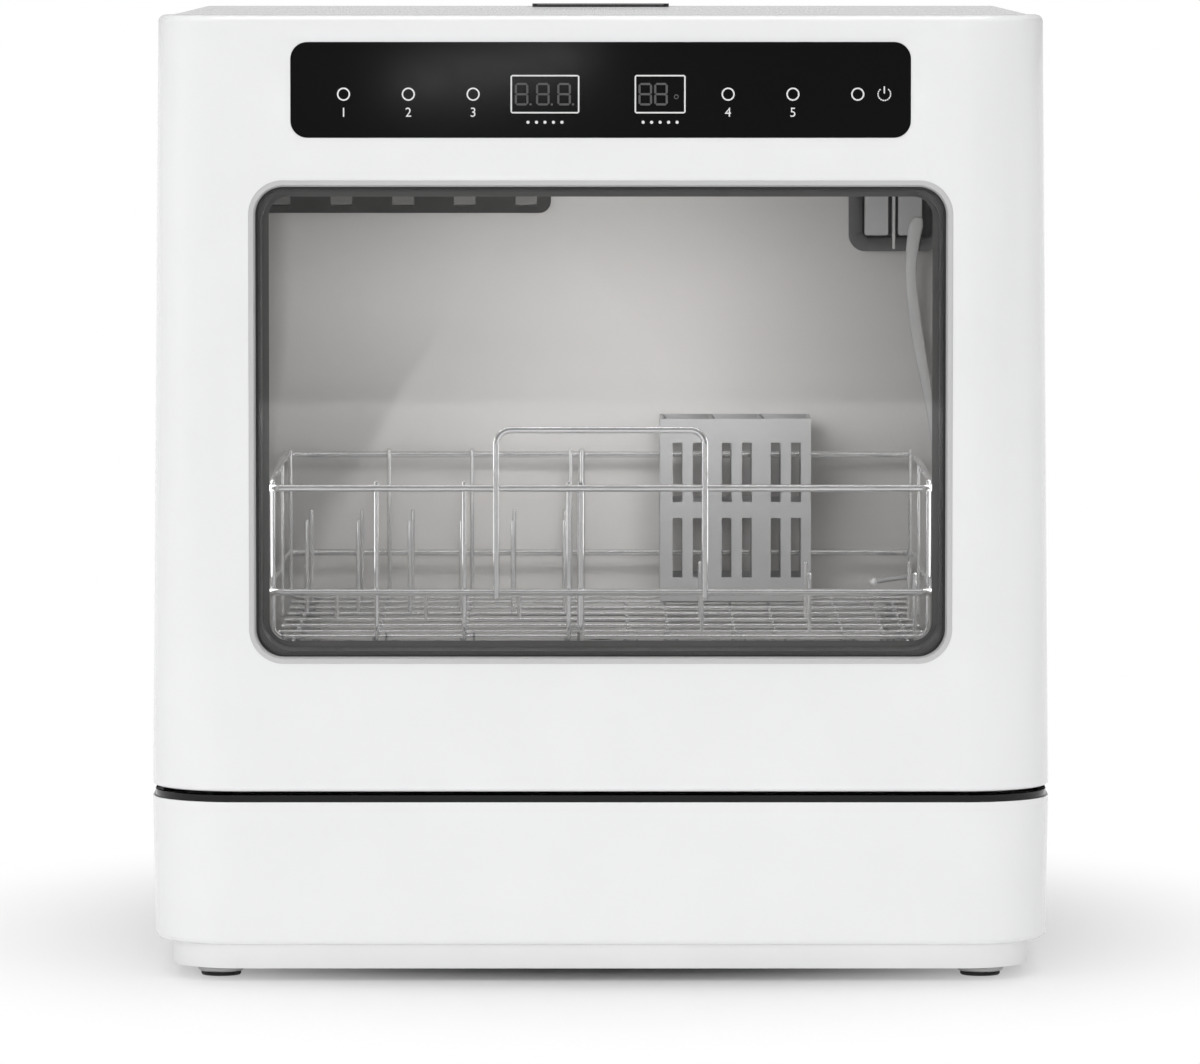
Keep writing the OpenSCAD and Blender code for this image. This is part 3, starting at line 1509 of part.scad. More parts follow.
module basket_uprights() {
    color("silver") {
        for (x = upright_xs) {
            wire_leg(x, leg_d0, long_z, leg_top, 1, thin_r);
            wire_leg(x, leg_d1, long_z, leg_top, -1, thin_r);
        }
        wire_leg(divider_x, divider_d0, divider_z, leg_top, 1, divider_r);
        wire_leg(divider_x, divider_d1, divider_z, leg_top, -1, divider_r);
        // Uprights on the side rails
        for (s = [-1, 1])
            for (d = side_ds)
                rod_z(s * (basket_hw - wire_in), d, cross_z, leg_top, thin_r);
    }
}

module basket_floor() {
    end_x = basket_hw - wire_in - thin_r;
    color("silver") {
        for (x = upright_xs)
            rod_y(x, leg_d0 + leg_bend, leg_d1 - leg_bend, long_z, thin_r);
        rod_y(divider_x, divider_d0 + leg_bend, divider_d1 - leg_bend, divider_z, divider_r);
        for (x = low_xs)
            rod_y(x, cross_ds[0] - 14, basket_d1 - 12, long_z, thin_r);
        for (x = [-1, 1] * runner_x)
            rod_y(x, basket_front + 6, basket_d1 - 6, long_z, thin_r);
        // Cross wires pass over the long ones and stop at the thick divider
        for (d = concat(cross_ds, [side_ds[0], side_ds[2]])) {
            rod_x(-end_x, divider_x - divider_r, d, cross_z, thin_r);
            rod_x(divider_x + divider_r, end_x, d, cross_z, thin_r);
        }
    }
}

module basket_handle() {
    d = basket_front - 2 * rail_r - 0.05;
    top = top_rail_z + handle_rise;
    color("silver") {
        for (s = [-1, 1]) {
            rod_z(s * handle_hw, d, low_rail_z - 4, top - handle_r, rail_r + 0.05);
            translate([s * (handle_hw - handle_r), front_y + d, top - handle_r])
                rotate([90, 0, 0])
                    rotate([0, 0, s > 0 ? 0 : 90])
                        rotate_extrude(angle = 90)
                            translate([handle_r, 0]) circle(r = rail_r + 0.05, $fn = 24);
        }
        rod_x(handle_r - handle_hw, handle_hw - handle_r, d, top, rail_r + 0.05);
    }
}

plate_x0 = 14 - basket_hw;
plate_tine_xs = [for (i = [0:5]) plate_x0 + i * (divider_x - 8.4 - plate_x0) / 5];
cup_tine_xs = [for (x = [111, 59, 8]) basket_hw - x];

module basket_tines() {
    color("silver") {
        // Rows for plates, in the left half
        for (d = [cross_ds[3], cross_ds[5]])
            for (x = plate_tine_xs)
                tine(x, d, tine_h);
        // Rows for cups and glasses, in the right half
        for (d = [cross_ds[0], cross_ds[2]])
            for (x = cup_tine_xs)
                tine(x, d, cup_tine_h);
        for (x = [-130, -86, -40])
            tine(x, cross_ds[2], 14);
    }
}

// A round-ended pin standing on a cross wire
module tine(x, d, h) {
    rod_z(x, d, cross_z + thin_r - 0.4, cross_z + h, thin_r);
    translate([x, front_y + d, cross_z + h]) sphere(r = thin_r, $fn = 16);
}

holder_x1 = holder_x0 + holder_w;
holder_d0 = basket_d1 - rail_r - 0.2 - holder_d;

// Open-topped cutlery holder with slotted walls and cells
module cutlery_holder() {
    z0 = cross_z + thin_r + 0.1;
    d1 = basket_d1 - rail_r - 0.2;
    cell = (holder_x1 - holder_x0 - holder_t) / holder_cells;
    color("gainsboro")
        difference() {
            block(holder_x0, holder_x1, holder_d0, d1, z0, z0 + holder_h);
            for (i = [0:holder_cells - 1])
                block(holder_x0 + holder_t + i * cell, holder_x0 + (i + 1) * cell,
                      holder_d0 + holder_t, d1 - holder_t, z0 + holder_t, z0 + holder_h + 1);
            // Slots in front and back, and drain slots in the floor
            for (i = [0:holder_cells - 1])
                for (k = [0:1]) {
                    x = holder_x0 + holder_t + i * cell + 4.5 + k * 10.2;
                    for (z = [z0 + 12, z0 + 50])
                        block(x, x + 5, holder_d0 - 1, d1 + 1, z, z + 30);
                    block(x, x + 5, holder_d0 + 8, d1 - 8, z0 - 1, z0 + holder_t + 1);
                }
        }
}

module basket_glides() {
    color("white", 0.6)
        for (x = [-1, 1] * runner_x)
            for (d = [basket_front + 22, basket_d1 - 28])
                difference() {
                    block(x - 3, x + 3, d - 8, d + 8, long_z - thin_r - glide_h, long_z + 2.5);
                    rod_y(x, d - 9, d + 9, long_z, thin_r + 0.05);
                }
}

housing();
rear_panel();
base_shell();
plinth();
foot_pedestals();
foot_pads();
seam_trim();
front_frame();
door_seal();
tub();
slide_rails();
air_outlet();
water_inlet_box();
feed_pipe();
level_probe();
sump();
filter_plate();
filter_cup();
spray_post();
lower_spray_arm();
wash_pump();
drain_pump();
heater();
wash_hose();
supply_hose();
drain_hose();
inlet_valve();
inlet_hose();
water_tank();
inlet_collar();
inlet_lid();
lid_pin();
vent_fan();
power_board();
inlet_connector();
drain_connector();
cord_gland();
rear_screws();
hinge_brackets();
hinge_pins();
hinge_arms();
door_catch();
door_hook();
door_shell();
door_liner();
liner_screws();
window_trim();
outer_glass();
glazing_spacer();
inner_glass();
control_fascia();
control_board();
display_modules();
basket_rails();
basket_uprights();
basket_floor();
basket_handle();
basket_tines();
basket_glides();
cutlery_holder();
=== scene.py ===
"""The looks of a countertop dishwasher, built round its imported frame.

Metres, +Z up, the door faces -Y. A depth is counted from the door's face towards the back.
"""

import json
import math

import bmesh
import bpy
import numpy as np
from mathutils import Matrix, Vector


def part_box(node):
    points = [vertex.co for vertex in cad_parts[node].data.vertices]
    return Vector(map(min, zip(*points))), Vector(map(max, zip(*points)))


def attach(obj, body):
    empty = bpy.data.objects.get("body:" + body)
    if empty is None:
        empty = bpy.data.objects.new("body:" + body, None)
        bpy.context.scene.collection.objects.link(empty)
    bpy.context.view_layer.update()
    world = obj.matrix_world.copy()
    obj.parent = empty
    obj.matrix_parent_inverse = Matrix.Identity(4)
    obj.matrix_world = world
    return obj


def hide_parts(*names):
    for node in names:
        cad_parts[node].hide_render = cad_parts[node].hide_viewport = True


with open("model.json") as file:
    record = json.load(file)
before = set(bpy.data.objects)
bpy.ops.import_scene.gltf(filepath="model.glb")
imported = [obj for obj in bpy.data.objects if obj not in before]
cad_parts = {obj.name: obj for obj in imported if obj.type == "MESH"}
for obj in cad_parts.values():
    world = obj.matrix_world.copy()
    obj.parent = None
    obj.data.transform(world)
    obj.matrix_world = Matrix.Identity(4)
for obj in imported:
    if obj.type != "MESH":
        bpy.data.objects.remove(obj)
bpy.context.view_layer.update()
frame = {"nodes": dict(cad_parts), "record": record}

MM = 0.001

# --- Camera, as in the photograph ---

PHOTO_WIDTH_PX = 1200
LENS_PX = 9022
HORIZON_ABOVE_MIDDLE_PX = 621
SENSOR_MM = 36
SIGHT_END = 100
EYE = (-0.0003, -4.4717, 0.506)

camera = bpy.data.objects.new("camera", bpy.data.cameras.new("camera"))
bpy.context.scene.collection.objects.link(camera)
bpy.context.scene.camera = camera
camera.data.sensor_width = SENSOR_MM
camera.data.lens = LENS_PX / PHOTO_WIDTH_PX * SENSOR_MM
camera.data.clip_end = SIGHT_END
camera.location = EYE
camera.rotation_euler = (math.pi / 2 - math.atan(HORIZON_ABOVE_MIDDLE_PX / LENS_PX), 0, 0)

bpy.context.scene.view_settings.view_transform = "Standard"

# --- Places taken from the frame ---

FRONT_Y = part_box("door_shell")[0].y
ring_low, ring_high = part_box("window_trim")
panel_low, panel_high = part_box("control_fascia")
rails_low, rails_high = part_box("basket_rails")


def depth(y):
    """Depth of a place behind the door's face."""
    return y - FRONT_Y


# --- Nodes of a material ---

# The range that most of a noise texture's values lie in
NOISE_LOW, NOISE_HIGH = 0.3, 0.7
# The mix node's sockets for colours go by number, because their names repeat
COLOUR_A, COLOUR_B, COLOUR_OUT = 6, 7, 2
PATCH_DETAIL = 2.0
GRAIN_DETAIL = 4.0
BUMP_STRENGTH = 0.6
COAT_ROUGH = 0.04
PANE_IOR = 1.45


class Nodes:
    """A node tree, with short calls for the nodes that the finishes use."""

    def __init__(self, owner):
        owner.use_nodes = True
        self.tree = owner.node_tree
        self.tree.nodes.clear()

    def add(self, kind, **settings):
        node = self.tree.nodes.new(kind)
        for name, value in settings.items():
            setattr(node, name, value)
        return node

    def link(self, source, target):
        self.tree.links.new(source, target)

    def read(self, kind, output):
        """An output of a new node that takes no input."""
        return self.add(kind).outputs[output]

    def noise(self, scale, detail, stretch):
        """Noise over the object's own coordinates, drawn out along an axis by stretch."""
        mapping = self.add("ShaderNodeMapping")
        mapping.inputs["Scale"].default_value = stretch
        noise = self.add("ShaderNodeTexNoise")
        noise.inputs["Scale"].default_value = scale
        noise.inputs["Detail"].default_value = detail
        self.link(self.read("ShaderNodeTexCoord", "Object"), mapping.inputs["Vector"])
        self.link(mapping.outputs["Vector"], noise.inputs["Vector"])
        return noise.outputs["Fac"]

    def ramp(self, value, start, end, low=0.0, high=1.0, curve="SMOOTHSTEP"):
        """Carries a value from one range to another, and holds it at both ends."""
        node = self.add("ShaderNodeMapRange", interpolation_type=curve)
        node.inputs["From Min"].default_value = start
        node.inputs["From Max"].default_value = end
        node.inputs["To Min"].default_value = low
        node.inputs["To Max"].default_value = high
        self.link(value, node.inputs["Value"])
        return node.outputs["Result"]

    def spread(self, value, low, high):
        """Carries the noise's usual range to another range."""
        return self.ramp(value, NOISE_LOW, NOISE_HIGH, low, high, "LINEAR")

    def reckon(self, operation, first, second, clamp=False):
        """The sum or the product of two values."""
        node = self.add("ShaderNodeMath", operation=operation, use_clamp=clamp)
        self.link(first, node.inputs[0])
        self.link(second, node.inputs[1])
        return node.outputs["Value"]

    def blend_colours(self, factor, first, second):
        node = self.add("ShaderNodeMix", data_type="RGBA")
        node.inputs[COLOUR_A].default_value = (*first, 1)
        node.inputs[COLOUR_B].default_value = (*second, 1)
        self.link(factor, node.inputs["Factor"])
        return node.outputs[COLOUR_OUT]

    def blend_shaders(self, factor, first, second):
        node = self.add("ShaderNodeMixShader")
        self.link(factor, node.inputs["Fac"])
        self.link(first, node.inputs[1])
        self.link(second, node.inputs[2])
        return node.outputs["Shader"]

    def bump(self, value, distance):
        node = self.add("ShaderNodeBump")
        node.inputs["Strength"].default_value = BUMP_STRENGTH
        node.inputs["Distance"].default_value = distance
        self.link(value, node.inputs["Height"])
        return node.outputs["Normal"]

    def end(self, shader, kind="ShaderNodeOutputMaterial"):
        """Gives the finished shader to the tree's output."""
        self.link(shader, self.add(kind).inputs["Surface"])


def finish(name, tones, rough, grain, relief=0.0, metal=0.0, coat=0.0, stretch=(1, 1, 1),
           patch=18.0, specular=0.5):
    """A surface whose colour and gloss waver with noise, with a fine relief.

    tones are the two colours that it runs between in patches, rough the range of its roughness,
    grain the scale of the fine noise and relief the depth of its bumps in metres.
    """
    material = bpy.data.materials.new(name)
    nodes = Nodes(material)
    shader = nodes.add("ShaderNodeBsdfPrincipled")
    shader.inputs["Metallic"].default_value = metal
    shader.inputs["Specular IOR Level"].default_value = specular
    shader.inputs["Coat Weight"].default_value = coat
    shader.inputs["Coat Roughness"].default_value = COAT_ROUGH
    patches = nodes.spread(nodes.noise(patch, PATCH_DETAIL, stretch), 0, 1)
    fine = nodes.noise(grain, GRAIN_DETAIL, stretch)
    nodes.link(nodes.blend_colours(patches, *tones), shader.inputs["Base Color"])
    nodes.link(nodes.spread(fine, *rough), shader.inputs["Roughness"])
    if relief:
        nodes.link(nodes.bump(fine, relief), shader.inputs["Normal"])
    nodes.end(shader.outputs["BSDF"])
    return material


def clear_pane(name, tint, sheen_rough):
    """A clear sheet: light goes straight through, and the entry face mirrors more at a slant.

    The exit face doesn't mirror, because a ray that isn't bent would be held back inside.
    """
    material = bpy.data.materials.new(name)
    nodes = Nodes(material)
    through = nodes.add("ShaderNodeBsdfTransparent")
    through.inputs["Color"].default_value = (*tint, 1)
    mirror = nodes.add("ShaderNodeBsdfGlossy")
    mirror.inputs["Roughness"].default_value = sheen_rough
    fresnel = nodes.add("ShaderNodeFresnel")
    fresnel.inputs["IOR"].default_value = PANE_IOR
    entry = nodes.add("ShaderNodeMath", operation="SUBTRACT")
    entry.inputs[0].default_value = 1.0
    nodes.link(nodes.read("ShaderNodeNewGeometry", "Backfacing"), entry.inputs[1])
    share = nodes.reckon("MULTIPLY", fresnel.outputs["Fac"], entry.outputs["Value"])
    nodes.end(nodes.blend_shaders(share, through.outputs["BSDF"], mirror.outputs["BSDF"]))
    return material


def grey(value, warmth=0.0):
    """A grey of that linear value, a little warmer or cooler."""
    return (value * (1 + warmth), value, value * (1 - warmth))


FINISHES = {
    "door_white": finish("gloss_white_moulding", (grey(0.87, -0.004), grey(0.89, -0.004)),
                         (0.16, 0.22), 320, 0.00001, coat=0.3),
    "base_white": finish("gloss_white_base", (grey(0.87, -0.004), grey(0.89, -0.004)),
                         (0.16, 0.22), 320, 0.00001, coat=0.3),
    "casing_white": finish("white_enamel", (grey(0.81, -0.004), grey(0.84, -0.004)),
                           (0.24, 0.32), 900, 0.00003, coat=0.2),
    "plinth_white": finish("satin_white", (grey(0.85), grey(0.88)), (0.30, 0.38), 600, 0.00002),
    "panel_grey": finish("powder_coated_sheet", (grey(0.46), grey(0.50)), (0.42, 0.52), 2200,
                         0.00006),
    "foot_grey": finish("pale_foot_plastic", (grey(0.50), grey(0.55)), (0.35, 0.45), 500, 0.00002),
    "pad_rubber": finish("pad_rubber", (grey(0.012), grey(0.020)), (0.6, 0.75), 1500, 0.00005),
    "seam_black": finish("black_gloss_strip", (grey(0.004), grey(0.006)), (0.05, 0.08), 200,
                         0.000002, specular=0.3),
    "frame_white": finish("satin_frame_plastic", (grey(0.60), grey(0.64)), (0.34, 0.44), 900,
                          0.00003),
    "seal_rubber": finish("seal_rubber", (grey(0.030), grey(0.042)), (0.48, 0.62), 1200, 0.00004),
    "tub_steel": finish("brushed_chamber_steel", (grey(0.62, 0.022), grey(0.66, 0.022)),
                        (0.36, 0.46), 900, 0.00001, metal=0.15, stretch=(0.04, 0.04, 1)),
    "runner_plastic": finish("runner_plastic", (grey(0.30), grey(0.35)), (0.35, 0.45), 700,
                             0.00002),
    "duct_dark": finish("dark_duct_plastic", (grey(0.024, 0.05), grey(0.032, 0.05)), (0.35, 0.48),
                        900, 0.00003),
    "pipe_pale": finish("pale_pipe_plastic", (grey(0.42), grey(0.48)), (0.30, 0.42), 600, 0.00002),
    "sump_dark": finish("sump_plastic", (grey(0.035), grey(0.05)), (0.4, 0.55), 800, 0.00003),
    "filter_steel": finish("filter_steel", (grey(0.45), grey(0.55)), (0.25, 0.35), 1500, 0.00002,
                           metal=1.0, stretch=(1, 0.05, 1)),
    "arm_grey": finish("spray_arm_plastic", (grey(0.26), grey(0.30)), (0.32, 0.42), 800, 0.00003),
    "pump_dark": finish("pump_plastic", (grey(0.02), grey(0.03)), (0.45, 0.6), 900, 0.00003),
    "heater_steel": finish("heater_steel", (grey(0.42), grey(0.52)), (0.25, 0.4), 900, 0.00002,
                           metal=1.0),
    "hose_rubber": finish("hose_rubber", (grey(0.016), grey(0.024)), (0.5, 0.65), 900, 0.00004),
    "valve_white": finish("valve_plastic", (grey(0.62), grey(0.68)), (0.35, 0.5), 700, 0.00002),
    "tank_plastic": finish("tank_plastic", (grey(0.52, -0.02), grey(0.58, -0.02)), (0.3, 0.45),
                           500, 0.00003),
    "lid_black": finish("black_lid_plastic", (grey(0.008), grey(0.012)), (0.10, 0.16), 400,
                        0.000008),
    "hardware_steel": finish("zinc_plated_steel", (grey(0.50), grey(0.60)), (0.25, 0.4), 700,
                             0.00001, metal=1.0),
    "board_green": finish("solder_resist", ((0.01, 0.07, 0.03), (0.015, 0.10, 0.04)), (0.25, 0.4),
                          500, 0.00001),
    "inlet_metal": finish("nickel_plated_brass", (grey(0.50, 0.05), grey(0.58, 0.05)),
                          (0.18, 0.28), 500, 0.00001, metal=1.0),
    "spigot_grey": finish("spigot_plastic", (grey(0.05), grey(0.07)), (0.4, 0.5), 700, 0.00002),
    "gland_black": finish("gland_rubber", (grey(0.012), grey(0.018)), (0.55, 0.7), 900, 0.00003),
    "catch_dark": finish("catch_plastic", (grey(0.02), grey(0.03)), (0.4, 0.5), 700, 0.00002),
    "trim_silver": finish("satin_trim", (grey(0.58), grey(0.59)), (0.28, 0.285), 150, metal=0.1,
                          patch=6.0),
    "window_glass": clear_pane("clear_window_glass", (0.985, 0.985, 0.985), 0.02),
    "spacer_black": finish("dark_spacer", (grey(0.062), grey(0.080)), (0.4, 0.5), 900, 0.00002),
    "fascia_black": finish("black_gloss_panel", (grey(0.003), grey(0.004)), (0.052, 0.058), 120,
                           patch=8.0, specular=0.2),
    "display_dark": finish("smoked_display", (grey(0.02), grey(0.03)), (0.15, 0.25), 400,
                           0.00001),
    "wire_chrome": finish("bright_chrome_wire", (grey(0.88), grey(0.92)), (0.07, 0.11), 300,
                          0.000002, metal=0.8, patch=60.0),
    "glide_clear": clear_pane("milky_clear_glide", (0.80, 0.82, 0.83), 0.12),
    "holder_grey": finish("cutlery_holder_plastic", (grey(0.34), grey(0.38)), (0.34, 0.44), 700,
                          0.00003),
}

white_print = finish("white_print", (grey(0.78), grey(0.84)), (0.3, 0.4), 900)
dim_print = finish("unlit_segments", (grey(0.085), grey(0.11)), (0.3, 0.4), 900)
border_print = finish("border_print", (grey(0.098, 0.02), grey(0.108, 0.02)), (0.35, 0.45), 600)
bracket_grey = finish("inlet_bracket_plastic", (grey(0.075), grey(0.090)), (0.35, 0.45), 800,
                      0.00003)
block_grey = finish("inlet_block_plastic", (grey(0.34), grey(0.38)), (0.3, 0.4), 700, 0.00002)
tab_grey = finish("outlet_tab_plastic", (grey(0.17, 0.02), grey(0.20, 0.02)), (0.35, 0.45), 800,
                  0.00002)
probe_white = finish("probe_plastic", (grey(0.84), grey(0.90)), (0.25, 0.35), 700, 0.00001)
black_gasket = finish("black_gasket", (grey(0.010), grey(0.016)), (0.35, 0.5), 900, 0.00002)

# --- Making pieces ---

SMOOTH_UP_TO = 38
MERGE_WITHIN = 0.002 * MM
BY_AREA_ALONE = 100

slot_of = {part["node"]: part["material_slot"] for part in frame["record"]["subparts"]}
body_of = {node: body for body, nodes in frame["record"]["behaviour"]["bodies"].items()
           for node in nodes}
OWN_FINISH = {"water_inlet_box": bracket_grey}


def show(name, mesh, body, slot, material, stands_for, sharp):
    """Puts a mesh on its body, with its finish and smooth up to the given angle.

    The normals are weighed by the faces' areas, so that a flat face mirrors as a flat one.
    """
    mesh.shade_smooth()
    mesh.set_sharp_from_angle(angle=math.radians(sharp))
    mesh.materials.clear()
    mesh.materials.append(material or FINISHES[slot])
    piece = bpy.data.objects.new(name, mesh)
    bpy.context.scene.collection.objects.link(piece)
    normals = piece.modifiers.new("even_shading", "WEIGHTED_NORMAL")
    normals.keep_sharp = True
    normals.weight = BY_AREA_ALONE
    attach(piece, body)
    if stands_for:
        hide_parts(*stands_for)


def new_piece(name, parts, body, slot, material=None, stands_for=(), sharp=SMOOTH_UP_TO):
    """A piece from one or more (points, faces) parts."""
    points, faces, start = [], [], 0
    for part_points, part_faces in parts:
        points.append(np.asarray(part_points, float).reshape(-1, 3))
        faces += [[i + start for i in face] for face in part_faces]
        start += len(points[-1])
    mesh = bpy.data.meshes.new(name)
    mesh.from_pydata(np.concatenate(points).tolist(), [], faces)
    outward = bmesh.new()
    outward.from_mesh(mesh)
    bmesh.ops.recalc_face_normals(outward, faces=outward.faces)
    outward.to_mesh(mesh)
    outward.free()
    show(name, mesh, body, slot, material, stands_for, sharp)


def smoothed(node):
    """A merged copy of a CAD node that stands for the node."""
    mesh = frame["nodes"][node].data.copy()
    mesh.name = node + "_surface"
    merged = bmesh.new()
    merged.from_mesh(mesh)
    bmesh.ops.remove_doubles(merged, verts=merged.verts, dist=MERGE_WITHIN)
    merged.to_mesh(mesh)
    merged.free()
    show(node + "_surface", mesh, body_of[node], slot_of[node], OWN_FINISH.get(node), (node,),
         SMOOTH_UP_TO)


def grid_faces(rows, columns, wrap_rows=False, wrap_columns=False):
    """The four-sided faces between the neighbours of a grid of points."""
    i, j = np.meshgrid(np.arange(rows if wrap_rows else rows - 1),
                       np.arange(columns if wrap_columns else columns - 1), indexing="ij")
    i1, j1 = (i + 1) % rows, (j + 1) % columns
    return np.stack([i * columns + j, i1 * columns + j, i1 * columns + j1, i * columns + j1],
                    -1).reshape(-1, 4).tolist()


def stack_faces(rings, sides):
    """The faces round a stack of rings, with a flat face at each end."""
    ends = [list(range(sides)), list(range((rings - 1) * sides, rings * sides))]
    return grid_faces(rings, sides, False, True) + ends


def round_loop(x0, x1, z0, z1, radius, steps):
    """Corner centres and outward directions along a rectangle with round corners."""
    turn = np.linspace(0, math.pi / 2, steps + 1)
    quarters = turn[None, :] + np.arange(4)[:, None] * math.pi / 2
    outward = np.stack([np.cos(quarters), np.sin(quarters)], -1)
    x = np.array([x1 - radius, x0 + radius, x0 + radius, x1 - radius])
    z = np.array([z1 - radius, z1 - radius, z0 + radius, z0 + radius])
    centres = np.broadcast_to(np.stack([x, z], -1)[:, None], outward.shape)
    return centres.reshape(-1, 2), outward.reshape(-1, 2)


def carried(rectangle, radius, profile, steps, plate=False):
    """A profile carried round a rectangle with round corners, in the plane of the door's face.

    A profile point is (offset outwards, depth). A plate's profile is open, from its back to its
    front, and both its ends are closed by a flat face.
    """
    centres, outward = round_loop(*rectangle, radius, steps)
    offset, deep = np.array(profile, float).T
    across = centres[:, None] + outward[:, None] * (radius + offset)[None, :, None]
    points = np.empty((len(centres), len(offset), 3))
    points[..., 0] = across[..., 0]
    points[..., 1] = FRONT_Y + deep
    points[..., 2] = across[..., 1]
    faces = grid_faces(len(centres), len(offset), True, not plate)
    if plate:
        ring = np.arange(len(centres)) * len(offset)
        faces += [ring.tolist(), (ring + len(offset) - 1).tolist()]
    return points, faces


def bent(corners, bend, closed=False, steps=8):
    """A path through corner points, with an arc of the bend radius at each corner."""
    corners = [np.array(c, float) for c in corners]
    count = len(corners)
    inner = range(count) if closed else range(1, count - 1)
    path = [] if closed else [corners[0][None]]
    for i in inner:
        here = corners[i]
        back = corners[i - 1] - here
        ahead = corners[(i + 1) % count] - here
        back, ahead = back / np.linalg.norm(back), ahead / np.linalg.norm(ahead)
        half = math.acos(np.clip(back @ ahead, -1, 1)) / 2
        middle = (back + ahead) / np.linalg.norm(back + ahead)
        centre = here + middle * bend / math.sin(half)
        start = here + back * bend / math.tan(half) - centre
        end = here + ahead * bend / math.tan(half) - centre
        sweep = math.pi - 2 * half
        t = np.linspace(0, 1, steps + 1)[:, None]
        path.append(centre + (np.sin((1 - t) * sweep) * start + np.sin(t * sweep) * end)
                    / math.sin(sweep))
    if not closed:
        path.append(corners[-1][None])
    return np.concatenate(path)


# Where a round end's rings lie on its half sphere
DOME_TURNS = np.radians([84, 60, 30])


def tube(path, radius, square_to, closed=False, sides=14, flat=1.0, dome=True):
    """An oval carried along a path that lies in one plane, with round or flat ends.

    square_to is the direction across the path's plane. flat is the oval's height along that
    direction, as a share of its width. A round end is three rings on a half sphere.
    """
    path = np.asarray(path, float)
    if closed:
        along = np.roll(path, -1, 0) - np.roll(path, 1, 0)
    else:
        along = np.gradient(path, axis=0)
    along /= np.linalg.norm(along, axis=1)[:, None]
    size = np.ones(len(path))
    if not closed and dome:
        count = len(DOME_TURNS)
        inwards = radius * (1 - np.sin(DOME_TURNS))[:, None]
        path = np.concatenate([path[0] + along[0] * inwards, path[:1] + along[:1] * radius,
                               path[1:-1], path[-1:] - along[-1:] * radius,
                               path[-1] - along[-1] * inwards[::-1]])
        along = np.concatenate([np.repeat(along[:1], count, 0), along,
                                np.repeat(along[-1:], count, 0)])
        size = np.concatenate([np.cos(DOME_TURNS), size, np.cos(DOME_TURNS[::-1])])
    across = np.cross(np.array(square_to, float), along)
    across /= np.linalg.norm(across, axis=1)[:, None]
    up = np.cross(along, across)
    turn = np.linspace(0, 2 * math.pi, sides, endpoint=False)
    rings = (path[:, None]
             + across[:, None] * (radius * size[:, None] * np.cos(turn))[..., None]
             + up[:, None] * (radius * flat * size[:, None] * np.sin(turn))[..., None])
    if closed:
        return rings, grid_faces(len(path), sides, True, True)
    return rings, stack_faces(len(path), sides)


# --- Window: trim ring, gasket, border ---

RING_R = 16.5 * MM
RING_W = 3.4 * MM
RING_STEPS = 18
window_rect = (ring_low.x, ring_high.x, ring_low.z, ring_high.z)


def window_ring():
    """The trim's section: a rounded outer edge, a flat face and a slope down to the pane."""
    proud = depth(ring_low.y)
    seat = depth(ring_high.y)
    profile = [(-1.7 * MM, seat), (-1.7 * MM, -0.02 * MM), (0, -0.02 * MM), (0, proud * 0.35),
               (-0.30 * MM, proud * 0.75), (-0.60 * MM, proud), (-2.10 * MM, proud),
               (-2.35 * MM, proud * 0.8), (-2.50 * MM, proud * 0.4), (-3.30 * MM, 1.9 * MM),
               (-RING_W, 2.2 * MM), (-RING_W, seat)]
    new_piece("window_ring", [carried(window_rect, RING_R, profile, RING_STEPS)], "door",
              "trim_silver", stands_for=("window_trim",), sharp=30)
    gasket = [(-RING_W, seat - 0.1 * MM), (-RING_W, 1.8 * MM), (-RING_W - 0.5 * MM, 1.6 * MM),
              (-RING_W - 1.0 * MM, 1.9 * MM), (-RING_W - 1.2 * MM, seat - 0.1 * MM)]
    new_piece("pane_gasket", [carried(window_rect, RING_R, gasket, RING_STEPS)], "door",
              "spacer_black", material=black_gasket, sharp=60)


BORDER_FROM = 7.3 * MM
BORDER_W = 3.2 * MM
BORDER_R = RING_R - 4 * MM
BORDER_FRONT = 0.05 * MM
BORDER_BACK = 0.01 * MM


def pane_border():
    """A flat dark band printed on the inner pane, which covers the rim that the pane rests on."""
    low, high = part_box("inner_glass")
    front, back = depth(low.y) - BORDER_FRONT, depth(low.y) - BORDER_BACK
    profile = [(0, front), (-BORDER_W, front), (-BORDER_W, back), (0, back)]
    rectangle = (low.x + BORDER_FROM, high.x - BORDER_FROM, low.z + BORDER_FROM,
                 high.z - BORDER_FROM)
    new_piece("pane_border", [carried(rectangle, BORDER_R, profile, 12)], "door", "spacer_black",
              material=border_print, sharp=30)


# --- Control panel: plate, keys, displays ---

PANEL_R = 8 * MM
PANEL_EDGE = 0.18 * MM
KEY_RISE = 20.5 * MM
KEY_FIRST_X = 60 * MM
KEY_PITCH = 30.5 * MM
KEY_XS = sorted(s * (KEY_FIRST_X + KEY_PITCH * i) for s in (-1, 1) for i in range(3))
KEY_RING_R = 3.1 * MM
LINE = 0.7 * MM
FRAME_R = LINE * 1.05
PRINT_T = 0.03 * MM
# A rectangle whose corners' radius is this share of its half width is round
ALL_ROUND = 0.999
LEFT_DISPLAY = (-42.4 * MM, -10.0 * MM)
RIGHT_DISPLAY = (16.0 * MM, 40.0 * MM)
DISPLAY_H = 18.1 * MM
DIGIT_W = 5.4 * MM
DIGIT_H = 9.6 * MM
DIGIT_LINE = 1.0 * MM
DIGIT_GAP = 0.12 * MM
LEFT_DIGITS = [-37.2 * MM, -27.2 * MM, -17.2 * MM]
RIGHT_DIGITS = [21.0 * MM, 28.4 * MM]
POINT_IN_WIDTHS = 0.78
POINT_R = 0.55 * MM
SMALL_RING_X = 35.6 * MM
SMALL_RING_DROP = 1.2 * MM
SMALL_RING_R = 1.1 * MM
SMALL_RING_LINE = 0.4 * MM
DOTS_DROP = 13.2 * MM
DOTS_PITCH = 4 * MM
DOTS_R = 0.75 * MM
